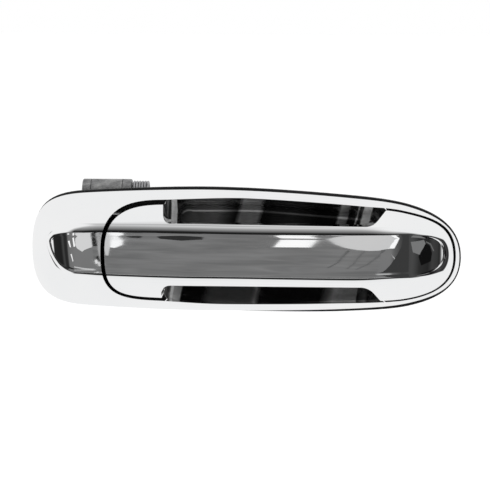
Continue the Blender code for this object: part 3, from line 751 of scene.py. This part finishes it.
def screw(centre, head_y, tip_y, head_r, shank_r):
    """A pan head screw that points outwards. Its cross recess is cut separately, by cross_recess.
    """
    x, z = centre
    out = -1 if tip_y < head_y else 1
    spans = [(head_y, head_r * 0.75), (head_y + out * 0.6, head_r), (head_y + out * 1.8, head_r)]
    spans += [(head_y + out * 1.8, shank_r), (tip_y - out * 0.8, shank_r), (tip_y, shank_r * 0.5)]
    return rod("Y", (x, 0, z), spans, 16)


def cross_recess(kit, obj, centre, head_y, size):
    x, z = centre
    for u, v in ((size, 0.35), (0.35, size)):
        kit.cut(obj, box(x - u, x + u, head_y - 0.9, head_y + 1, z - v, z + v))


def build_screws(kit, mats):
    # Name, centres, where the head sits, tip, head radius, shank radius, recess size.
    kinds = [
        ("bezel_screw", BEZEL_SCREWS, -FLANGE_H[0] + 0.4, -10.8, 2.9, 1.3, 1.6),
        ("grip_screw", GRIP_SCREWS, -GRIP_BACK_H - 0.4 + 0.3, -22.5, 3.0, 1.5, 1.7),
        ("bowl_screw", BOWL_SCREWS, 17.4 + 0.3, 13.4, 2.8, 1.3, 1.6),
    ]
    for name, centres, seat, tip, head_r, shank_r, size in kinds:
        head = seat + 1.8
        for number, centre in enumerate(centres, 1):
            shape = screw(centre, head, tip, head_r, shank_r)
            made = kit.part(f"{name}_{number}", shape, mats["steel"])
            cross_recess(kit, made, centre, head, size)


def build_studs(kit, mats):
    for name, (x, z, start) in STUDS.items():
        spans = [(start + GAP, STUD_R), (STUD_END_Y - 1, STUD_R), (STUD_END_Y, STUD_R - 1)]
        kit.part(name, rod("Y", (x, 0, z), spans), mats["steel"])


# ---------------------------------------------------------------- materials


WHITE = 0.94


def ramp(tree, value, stops):
    """stops are (position from 0 to 1, grey or colour)."""
    node = tree.nodes.new("ShaderNodeValToRGB")
    elements = node.color_ramp.elements
    while len(elements) < len(stops):
        elements.new(0.5)
    for element, (position, shade) in zip(elements, stops):
        element.position = position
        element.color = (shade, shade, shade, 1) if isinstance(shade, float) else (*shade, 1)
    tree.links.new(value, node.inputs["Fac"])
    return node.outputs["Color"]


def mix(tree, factor, a, b, blend="MIX"):
    """Mixes two colours. None stands for white."""
    node = tree.nodes.new("ShaderNodeMix")
    node.data_type = "RGBA"
    node.blend_type = blend
    for name, value in (("Factor", factor), ("A", a), ("B", b)):
        if value is None:
            node.inputs[name].default_value = (WHITE, WHITE, WHITE, 1)
        elif isinstance(value, float):
            node.inputs[name].default_value = value
        else:
            tree.links.new(value, node.inputs[name])
    return node.outputs["Result"]


class Nodes:
    """Builds one material's node tree."""

    def __init__(self, name, color, metallic, roughness):
        self.material = bpy.data.materials.new(name)
        self.material.use_nodes = True
        self.tree = self.material.node_tree
        self.link = self.tree.links.new
        self.shader = self.tree.nodes["Principled BSDF"]
        self.set(Base_Color=(*color, 1), Metallic=metallic, Roughness=roughness)
        self.coords = self.tree.nodes.new("ShaderNodeTexCoord").outputs["Object"]
        self.bumped = None

    def set(self, **values):
        for name, value in values.items():
            self.shader.inputs[name.replace("_", " ")].default_value = value

    def node(self, kind, **values):
        made = self.tree.nodes.new(kind)
        for name, value in values.items():
            made.inputs[name.replace("_", " ")].default_value = value
        return made

    def scaled(self, scale):
        mapping = self.node("ShaderNodeMapping", Scale=scale)
        self.link(self.coords, mapping.inputs["Vector"])
        return mapping.outputs["Vector"]

    def noise(self, scale, detail=4, roughness=0.6, stretch=(1, 1, 1), distortion=0.0):
        node = self.node("ShaderNodeTexNoise", Scale=scale, Detail=detail, Roughness=roughness)
        node.inputs["Distortion"].default_value = distortion
        self.link(self.scaled(stretch), node.inputs["Vector"])
        return node.outputs["Fac"]

    def along(self, direction, start, end):
        """0 to 1 from start to end metres along a direction of the object's frame."""
        dot = self.tree.nodes.new("ShaderNodeVectorMath")
        dot.operation = "DOT_PRODUCT"
        dot.inputs[1].default_value = direction
        self.link(self.coords, dot.inputs[0])
        span = self.node("ShaderNodeMapRange", From_Min=start, From_Max=end)
        self.link(dot.outputs["Value"], span.inputs["Value"])
        return span.outputs["Result"]

    def cells(self, scale):
        node = self.node("ShaderNodeTexVoronoi", Scale=scale)
        self.link(self.scaled((1, 1, 1)), node.inputs["Vector"])
        return node.outputs["Distance"]

    def ramp(self, value, *stops):
        return ramp(self.tree, value, stops)

    def mix(self, factor, a, b, blend="MIX"):
        return mix(self.tree, factor, a, b, blend)

    def color(self, value):
        self.link(value, self.shader.inputs["Base Color"])

    def metal(self, value):
        self.link(value, self.shader.inputs["Metallic"])

    def rough(self, value):
        self.link(value, self.shader.inputs["Roughness"])

    def bump(self, value, depth_mm):
        """Adds a height on top of the bumps there are."""
        node = self.node("ShaderNodeBump", Distance=depth_mm * MM)
        self.link(value, node.inputs["Height"])
        if self.bumped:
            self.link(self.bumped, node.inputs["Normal"])
        self.bumped = node.outputs["Normal"]
        self.link(self.bumped, self.shader.inputs["Normal"])


def chrome_material():
    """Bright plate: a faint swell below it, wiping haze and hairlines in its roughness."""
    n = Nodes("chrome_bright", (0.9, 0.905, 0.91), 1, 0.03)
    haze = n.ramp(n.noise(34, 5, 0.62), (0.42, 0.018), (0.75, 0.05))
    wipes = n.ramp(n.noise(160, 3, 0.5, stretch=(0.12, 1, 1.4)), (0.55, 0.0), (0.8, 0.035))
    n.rough(n.mix(1.0, haze, wipes, "ADD"))
    n.color(n.ramp(n.noise(22, 3), (0.35, (0.885, 0.892, 0.9)), (0.7, (0.915, 0.917, 0.918))))
    n.bump(n.noise(46, 2, 0.4), 0.006)
    return n.material


def dark_chrome_painted_reflection_material():
    """Smoked plate. Its colour is painted reflection: light and dark strips and blotches stand in
    for what its polish mirrors in the windows.
    """
    n = Nodes("plate_smoked_painted_reflections", (0.1, 0.1, 0.1), 0.5, 0.14)
    cloud = n.noise(24, 4, 0.6, stretch=(1, 1, 0.5), distortion=0.9)
    # Painted reflections, one ramp each: strips at the bowl's left end, across the upper window and
    # across the lower window.
    left = n.ramp(
        n.along((1, 0, -0.05), -0.044, -0.028),
        (0.0, 0.5),
        (0.12, 0.05),
        (0.18, 0.3),
        (0.24, 0.03),
        (0.28, 0.2),
        (0.3, 1.0),
        (0.44, 1.0),
        (0.47, 0.0),
        (1.0, 0.0),
    )
    right = n.ramp(
        n.along((1, 0, -0.3), -0.052, 0.062),
        (0.0, 0.0),
        (0.1, 0.03),
        (0.16, 0.22),
        (0.28, 0.26),
        (0.34, 0.06),
        (0.36, 0.02),
        (0.38, 0.42),
        (0.46, 0.34),
        (0.48, 0.015),
        (0.62, 0.06),
        (0.74, 0.015),
        (0.82, 0.015),
        (0.83, 0.45),
        (0.868, 0.3),
        (0.872, 0.015),
        (0.905, 0.02),
        (0.91, 0.7),
        (0.918, 0.02),
        (0.93, 0.03),
        (0.936, 1.0),
        (0.97, 0.9),
        (0.974, 0.015),
        (1.0, 0.03),
    )
    low = n.ramp(
        n.along((1, 0, -0.12), -0.044, 0.068),
        (0.0, 0.3),
        (0.035, 0.35),
        (0.055, 0.1),
        (0.066, 0.3),
        (0.07, 1.0),
        (0.08, 1.0),
        (0.082, 0.6),
        (0.114, 0.55),
        (0.118, 0.012),
        (0.21, 0.015),
        (0.25, 0.15),
        (0.44, 0.13),
        (0.46, 0.3),
        (0.48, 0.015),
        (0.76, 0.02),
        (0.82, 0.4),
        (0.925, 0.34),
        (0.93, 0.012),
        (0.965, 0.16),
        (0.98, 0.012),
        (1.0, 0.06),
    )
    # Painted reflection: the upper window gets the lighter of the left and right strips, the lower
    # window its own strips, and cloud mottles both.
    high = n.mix(1.0, left, right, "LIGHTEN")
    upper = n.along((0, 0, 1), -0.002, 0.002)
    painted_reflection = n.mix(upper, low, high)
    painted_reflection = n.mix(1.0, painted_reflection, n.ramp(cloud, (0.3, 0.6), (0.6, 1.0)), "MULTIPLY")
    # Behind the floor a plain cloudy grey takes the place of the painted reflection.
    behind = n.along((0, 1, 0), 0.0121, 0.0125)
    painted_reflection = n.mix(behind, painted_reflection, n.ramp(cloud, (0.3, 0.1), (0.7, 0.2)))
    n.color(painted_reflection)
    # Metallic falls away where the painted reflection is bright.
    n.metal(n.ramp(painted_reflection, (0.2, 0.6), (0.7, 0.0)))
    n.set(Specular_IOR_Level=0.25)
    n.rough(n.ramp(n.noise(40, 5, 0.6), (0.4, 0.12), (0.75, 0.22)))
    n.bump(n.noise(60, 3, 0.5), 0.01)
    return n.material


def nylon_material():
    """Glass-filled nylon with a fine spark-eroded grain and faint flow marks."""
    n = Nodes("nylon_black", (0.02, 0.02, 0.021), 0, 0.5)
    grain = n.noise(1900, 3, 0.7)
    flow = n.noise(45, 5, 0.6, stretch=(0.4, 1, 1), distortion=0.8)
    n.set(Specular_IOR_Level=0.3)
    n.color(n.ramp(flow, (0.3, (0.006, 0.006, 0.0065)), (0.7, (0.016, 0.016, 0.017))))
    n.rough(n.ramp(flow, (0.3, 0.42), (0.7, 0.6)))
    n.bump(grain, 0.05)
    n.bump(n.cells(900), 0.03)
    return n.material


def rubber_material():
    n = Nodes("rubber_black", (0.015, 0.015, 0.015), 0, 0.8)
    dust = n.noise(120, 6, 0.7)
    n.color(n.ramp(dust, (0.45, (0.012, 0.012, 0.012)), (0.85, (0.045, 0.044, 0.042))))
    n.rough(n.ramp(dust, (0.3, 0.7), (0.8, 0.92)))
    n.bump(n.noise(1400, 4, 0.7), 0.06)
    return n.material


def zinc_material():
    """As-cast zinc: cloudy grey with a pebbled skin and brighter flats."""
    n = Nodes("zinc_cast", (0.45, 0.45, 0.45), 1, 0.4)
    cloud = n.noise(140, 6, 0.7, distortion=0.5)
    fine = n.noise(900, 4, 0.7)
    shades = (0.3, (0.16, 0.16, 0.163)), (0.5, (0.27, 0.27, 0.272)), (0.72, (0.46, 0.46, 0.455))
    base = n.ramp(cloud, *shades)
    speck = n.ramp(fine, (0.4, 0.7), (0.7, 1.0))
    n.color(n.mix(1.0, base, speck, "MULTIPLY"))
    n.rough(n.ramp(cloud, (0.3, 0.5), (0.7, 0.32)))
    n.bump(fine, 0.06)
    n.bump(cloud, 0.08)
    return n.material


def steel_material():
    """Turned and zinc-plated steel: rings from turning, with a faint blue and straw tint."""
    n = Nodes("steel_plated", (0.6, 0.6, 0.58), 1, 0.28)
    tint = n.noise(110, 4, 0.6)
    shades = (0.3, (0.52, 0.54, 0.57)), (0.5, (0.62, 0.62, 0.61)), (0.72, (0.66, 0.63, 0.55))
    n.color(n.ramp(tint, *shades))
    streak = n.noise(700, 4, 0.7, stretch=(1, 0.15, 1))
    n.rough(n.ramp(streak, (0.3, 0.2), (0.7, 0.42)))
    n.bump(streak, 0.02)
    return n.material


def spring_material():
    n = Nodes("steel_spring", (0.3, 0.3, 0.31), 1, 0.25)
    draw = n.noise(500, 4, 0.6, stretch=(1, 1, 0.3))
    n.color(n.ramp(draw, (0.3, (0.2, 0.2, 0.205)), (0.7, (0.4, 0.4, 0.41))))
    n.rough(n.ramp(draw, (0.3, 0.18), (0.7, 0.38)))
    n.bump(draw, 0.02)
    return n.material


def acetal_material():
    n = Nodes("acetal_natural", (0.75, 0.74, 0.7), 0, 0.38)
    n.set(Subsurface_Weight=0.15, Subsurface_Scale=0.001)
    flow = n.noise(260, 4, 0.6)
    n.color(n.ramp(flow, (0.3, (0.70, 0.69, 0.64)), (0.7, (0.79, 0.78, 0.745))))
    n.rough(n.ramp(flow, (0.3, 0.32), (0.7, 0.46)))
    n.bump(n.noise(1500, 3, 0.7), 0.03)
    return n.material


def materials():
    return {
        "chrome": chrome_material(),
        "bowl": dark_chrome_painted_reflection_material(),
        "nylon": nylon_material(),
        "rubber": rubber_material(),
        "zinc": zinc_material(),
        "steel": steel_material(),
        "spring": spring_material(),
        "acetal": acetal_material(),
    }


# ---------------------------------------------------------------- studio


CAMERA_TURN = 4.0
CAMERA_RISE = 6.5
CAMERA_DISTANCE = 2.4
LENS = 342
AIM = Vector((-0.0005, 0, 0.0028))
CARD_REACH = 0.5
BAND_HALF = 11


def camera_position():
    turn = math.radians(CAMERA_TURN)
    rise = math.radians(CAMERA_RISE)
    level = math.cos(rise)
    back = Vector((math.sin(turn) * level, -math.cos(turn) * level, math.sin(rise)))
    return AIM + back * CAMERA_DISTANCE


def place(name, data):
    """A new object in the scene."""
    made = bpy.data.objects.new(name, data)
    bpy.context.scene.collection.objects.link(made)
    return made


def add_camera():
    data = bpy.data.cameras.new("camera")
    data.lens = LENS
    data.sensor_width = 36
    camera = place("camera", data)
    camera.location = camera_position()
    camera.rotation_euler = (AIM - camera.location).to_track_quat("-Z", "Y").to_euler()
    bpy.context.scene.camera = camera


def emission(name, shade):
    """A light card's material. With no shade it is a cloudy grey wall."""
    made = bpy.data.materials.new(name)
    made.use_nodes = True
    tree = made.node_tree
    tree.nodes.clear()
    link = tree.links.new
    out = tree.nodes.new("ShaderNodeOutputMaterial")
    shader = tree.nodes.new("ShaderNodeEmission")
    if shade is None:
        coords = tree.nodes.new("ShaderNodeTexCoord")
        cloud = tree.nodes.new("ShaderNodeTexNoise")
        cloud.inputs["Scale"].default_value = 22
        cloud.inputs["Detail"].default_value = 5
        cloud.inputs["Distortion"].default_value = 0.7
        link(coords.outputs["Object"], cloud.inputs["Vector"])
        stops = [(0.3, 0.15), (0.5, 0.185), (0.7, 0.225)]
        link(ramp(tree, cloud.outputs["Fac"], stops), shader.inputs["Color"])
    else:
        shader.inputs["Color"].default_value = (shade, shade, shade, 1)
    link(shader.outputs["Emission"], out.inputs["Surface"])
    return made


def add_card(name, corners, shade):
    """A card that only shows in reflections."""
    mesh = bpy.data.meshes.new(name)
    mesh.from_pydata([tuple(c) for c in corners], [], [tuple(range(len(corners)))])
    mesh.materials.append(emission(name, shade))
    card = place(name, mesh)
    card.visible_camera = False
    card.visible_shadow = False
    card.visible_diffuse = False
    card.visible_transmission = False


def band_point(x, share):
    """The band's surface point at x mm, share of the way from its centre line to its upper edge."""
    height = band_height(x) + CROWN * (1 - share * share)
    return Vector((x, -height, share * BAND_HALF)) * MM


def seen_in_band(x, share, reach):
    """Where the camera's ray off the band lands, reach metres away."""
    point = band_point(x, share)
    along = band_point(x + 0.05, share) - band_point(x - 0.05, share)
    rise = band_point(x, share + 0.01) - band_point(x, share - 0.01)
    normal = along.cross(rise).normalized()
    if normal.y > 0:
        normal = -normal
    ray = (point - camera_position()).normalized()
    return point + (ray - 2 * ray.dot(normal) * normal) * reach


def band_card(name, shade, outline, reach=CARD_REACH):
    """A card whose reflection fills an outline of (x mm, share of the half height) on the band."""
    fine = []
    for (x0, s0), (x1, s1) in zip(outline, outline[1:] + outline[:1]):
        for t in (0, 0.25, 0.5, 0.75):
            fine.append((x0 + (x1 - x0) * t, s0 + (s1 - s0) * t))
    add_card(name, [seen_in_band(x, share, reach) for x, share in fine], shade)


# What stands in front of the band: shade, then an outline of (x mm, share of the half height).
BAND_CARDS = [
    ("left", 1.05, [
        (-69.5, 0.98), (-64, 0.98), (-60.7, 0.75), (-61, 0.5), (-66, 0.33), (-69, 0.36),
    ]),
    ("left_grey", 0.62, [(-72.4, 1.0), (-66, 0.98), (-69, 0.4), (-71, -0.1), (-72.4, -0.1)]),
    ("middle", 1.05, [(19.6, 0.9), (38.4, 0.9), (35, 0.5), (16.4, 0.5)]),
    ("middle_edge", 0.3, [(38.4, 0.9), (42, 0.9), (40, 0.8), (36, 0.5), (35, 0.5)]),
    ("dome", 0.62, [
        (43, 0.98), (79, 0.98), (75, 0.42), (70, 0.33), (64, 0.32), (58, 0.38), (52, 0.5),
        (47, 0.68),
    ]),
    ("right", 1.05, [(76.5, 0.86), (80.3, 0.98), (77.5, 0.42), (73, 0.42), (74.5, 0.6)]),
    ("top_1", 0.035, [(-60, 1.0), (-50, 1.0), (-52, 0.86), (-58, 0.9)]),
    ("top_2", 0.03, [(-44, 1.0), (-18, 1.0), (-19, 0.84), (-30, 0.76), (-41, 0.84)]),
    ("line_1", 0.1, [
        (53.5, 0.36), (55, 0.36), (49, -0.3), (44, -0.58), (43, -0.58), (48, -0.3),
    ]),
    ("line_2", 0.12, [
        (61, 0.3), (62, 0.3), (58, -0.35), (54, -0.62), (53, -0.62), (57, -0.35),
    ]),
    ("line_3", 0.13, [
        (72, 0.36), (73.5, 0.36), (66, -0.4), (60, -0.65), (58.5, -0.65), (64.5, -0.4),
    ]),
    ("end_light", 0.2, [(86, 0.75), (93.3, 0.86), (94.3, 0.62), (91, 0.05), (87, 0.2)]),
    ("end_black", 0.006, [
        (94.3, 0.68), (96.5, 0.5), (97.6, 0.1), (97, -0.35), (92, -0.55), (90.3, -0.05),
    ]),
    ("end_arc", 0.14, [
        (94.5, 0.78), (97, 0.62), (98.7, 0.2), (98.1, 0.2), (96.6, 0.56), (94.5, 0.7),
    ]),
    ("end_dark", 0.045, [
        (82, 0.98), (85, 0.98), (85, -0.85), (72, -0.85), (76, -0.4), (79, 0.1), (81, 0.5),
    ]),
    ("end_curve", 0.8, [
        (76, 0.12), (79.3, -0.26), (81.2, -0.6), (83.6, -0.8), (82.6, -0.8), (80.6, -0.6),
        (78.7, -0.26),
    ]),
    ("nose_pale", 0.7, [
        (-84, 0.98), (-79.2, 1.0), (-79.2, 0.4), (-82.2, 0.08), (-84.6, 0.26), (-85.4, 0.45),
        (-85.4, 0.8),
    ]),
    ("nose_dark", 0.02, [(-79, 1.0), (-76, 1.0), (-76, 0.4), (-78.6, 0.4)]),
    ("nose_light", 0.42, [(-75.4, 1.0), (-73.6, 1.0), (-73.6, -0.7), (-75, -0.7)]),
    ("nose_white_1", 1.0, [(-90, 0.62), (-89, 0.66), (-88.2, 0.3), (-89, 0.3)]),
    ("nose_white_2", 1.0, [(-87.2, 0.82), (-86.1, 0.86), (-85.4, 0.36), (-86.4, 0.34)]),
    ("nose_white_3", 0.9, [(-88.8, -0.1), (-88, -0.05), (-86.8, -0.45), (-87.4, -0.5)]),
    ("nose_speck_1", 0.9, [(-79, -0.42), (-77.4, -0.3), (-77, -0.5), (-78.4, -0.62)]),
    ("nose_speck_2", 0.012, [(-77.6, -0.2), (-76.2, -0.1), (-76, -0.4), (-77, -0.45)]),
    ("nose_speck_3", 0.8, [(-77.2, -0.52), (-76, -0.45), (-75.9, -0.7), (-77, -0.72)]),
    ("nose_low", 0.015, [(-91, -0.8), (-84, -0.92), (-74, -0.96), (-74, -1.1), (-91, -1.1)]),
    ("nose_low_light", 0.6, [(-86, -0.76), (-80, -0.86), (-80, -0.92), (-86, -0.82)]),
]


def maths(tree, operation, *values):
    node = tree.nodes.new("ShaderNodeMath")
    node.operation = operation
    for socket, value in zip(node.inputs, values):
        if isinstance(value, (int, float)):
            socket.default_value = value
        else:
            tree.links.new(value, socket)
    return node.outputs[0]


# Height above the horizon in degrees, and the shade that polished metal sees there, in front.
FRONT_SHADES = [
    (-88, 0.94),
    (-50, 0.9),
    (-45, 0.02),
    (-26, 0.02),
    (-25, 0.8),
    (-23, 0.8),
    (-21.5, 0.19),
    (-5, 0.2),
    (7.5, 0.17),
    (9, 0.012),
    (28, 0.015),
    (38, 0.13),
    (58, 0.36),
    (74, 0.76),
    (86, 0.94),
]
# Angle from straight in front in degrees, towards +X, and the shade there near the horizon.
SIDE_SHADES = [
    (-110, 0.94),
    (-89, 0.94),
    (-83, 0.02),
    (-54, 0.015),
    (-48, 0.06),
    (-43, 0.02),
    (-38, 0.03),
    (-35, 0.17),
    (-19, 0.2),
    (2, 0.19),
    (7, 0.12),
    (14, 0.05),
    (24, 0.07),
    (34, 0.03),
    (50, 0.02),
    (60, 0.05),
    (76, 0.04),
    (86, 0.02),
    (95, 0.25),
    (102, 0.94),
]


def add_world():
    """White to look at. Polished metal sees a dim room in front of it, under a bright ceiling."""
    world = bpy.data.worlds.new("studio")
    world.use_nodes = True
    tree = world.node_tree
    link = tree.links.new
    background = tree.nodes["Background"]
    background.inputs["Color"].default_value = (1, 1, 1, 1)
    coords = tree.nodes.new("ShaderNodeTexCoord")
    split = tree.nodes.new("ShaderNodeSeparateXYZ")
    link(coords.outputs["Generated"], split.inputs["Vector"])
    x, y, z = (split.outputs[name] for name in "XYZ")
    height = maths(tree, "DIVIDE", maths(tree, "ARCSINE", z), math.pi)
    height = maths(tree, "ADD", height, 0.5)
    turn = maths(tree, "ARCTAN2", x, maths(tree, "MULTIPLY", y, -1))
    turn = maths(tree, "ADD", maths(tree, "DIVIDE", turn, 2 * math.pi), 0.5)

    def by_height(stops):
        return ramp(tree, height, [(0.5 + degrees / 180, shade) for degrees, shade in stops])

    def by_turn(stops):
        return ramp(tree, turn, [(0.5 + degrees / 360, shade) for degrees, shade in stops])

    front = by_height(FRONT_SHADES)
    side = by_turn(SIDE_SHADES)
    level = by_height([(-30, 0.0), (-27, 1.0), (14, 1.0), (20, 0.0)])
    ahead = by_turn([(-16, 1.0), (-12, 0.0), (3, 0.0), (6, 1.0)])
    behind = by_turn([(-110, 1.0), (-95, 0.0), (95, 0.0), (105, 1.0)])
    aside = by_turn([(-42, 1.0), (-26, 0.0), (26, 0.0), (42, 1.0)])
    front = mix(tree, aside, front, None)
    shade = mix(tree, maths(tree, "MULTIPLY", level, ahead), front, side)
    shade = mix(tree, behind, shade, None)
    seen = tree.nodes.new("ShaderNodeLightPath").outputs["Is Glossy Ray"]
    mirrored = tree.nodes.new("ShaderNodeBackground")
    link(shade, mirrored.inputs["Color"])
    mixed = tree.nodes.new("ShaderNodeMixShader")
    link(seen, mixed.inputs["Fac"])
    for number, source in enumerate((background, mirrored), 1):
        link(source.outputs["Background"], mixed.inputs[number])
    link(mixed.outputs["Shader"], tree.nodes["World Output"].inputs["Surface"])
    bpy.context.scene.world = world


def add_floor():
    made = bpy.data.materials.new("floor_white")
    made.use_nodes = True
    shader = made.node_tree.nodes["Principled BSDF"]
    shader.inputs["Base Color"].default_value = (0.93, 0.93, 0.93, 1)
    shader.inputs["Roughness"].default_value = 0.9
    shader.inputs["Emission Color"].default_value = (1, 1, 1, 1)
    shader.inputs["Emission Strength"].default_value = 0.12
    mesh = bpy.data.meshes.new("floor")
    corners = [(-6, -6, -0.3), (6, -6, -0.3), (6, 6, -0.3), (-6, 6, -0.3)]
    mesh.from_pydata(corners, [], [(0, 1, 2, 3)])
    mesh.materials.append(made)
    floor = place("floor", mesh)
    floor.visible_glossy = False


def add_key_light():
    data = bpy.data.lights.new("key", "AREA")
    data.shape = "SQUARE"
    data.size = 0.5
    data.energy = 6
    light = place("key", data)
    light.location = (-0.5, -0.7, 0.9)
    light.rotation_euler = (-light.location).to_track_quat("-Z", "Y").to_euler()
    light.visible_camera = False
    light.visible_glossy = False


def set_view():
    view = bpy.context.scene.view_settings
    view.view_transform = "Standard"
    view.look = "None"
    view.exposure = 0
    view.gamma = 1


def add_studio():
    set_view()
    add_world()
    add_floor()
    add_key_light()
    for name, shade, outline in BAND_CARDS:
        band_card("card_" + name, shade, outline)
    wall = [(-79.5, 1.02), (72, 1.02), (72, -1.02), (-79.5, -1.02)]
    band_card("card_wall", None, wall, CARD_REACH + 0.05)
# ---------------------------------------------------------------- assembly


def bake(obj):
    """Applies an object's modifiers and smooths everything but its real edges."""
    graph = bpy.context.evaluated_depsgraph_get()
    mesh = bpy.data.meshes.new_from_object(obj.evaluated_get(graph))
    obj.modifiers.clear()
    obj.data = mesh
    mesh.shade_smooth()
    mesh.set_sharp_from_angle(angle=math.radians(SHARP_ANGLE))


def finish_pieces(kit):
    bpy.context.view_layer.update()
    pieces = list(kit.parts.objects)
    for obj in pieces:
        bake(obj)
    for obj in list(kit.cutters.objects):
        bpy.data.objects.remove(obj)
    bpy.data.collections.remove(kit.cutters)
    body_of = {}
    for body, nodes in frame["record"]["behaviour"]["bodies"].items():
        for node in nodes:
            body_of[node] = body
    for obj in pieces:
        node = obj.name.replace("fine_", "")
        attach(obj, body_of[node])
        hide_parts(node)


def main():
    kit = Kit(new_collection("pieces"), new_collection("cutters"))
    mats = materials()
    builders = (build_bezel, build_bowl, build_grip_cover, build_grip_core, build_chassis)
    builders += (build_gasket, build_bumpers, build_bellcrank, build_counterweight, build_rod_clip)
    builders += (build_spring, build_pins, build_screws, build_studs)
    for build in builders:
        build(kit, mats)
    finish_pieces(kit)
    add_camera()
    add_studio()


main()
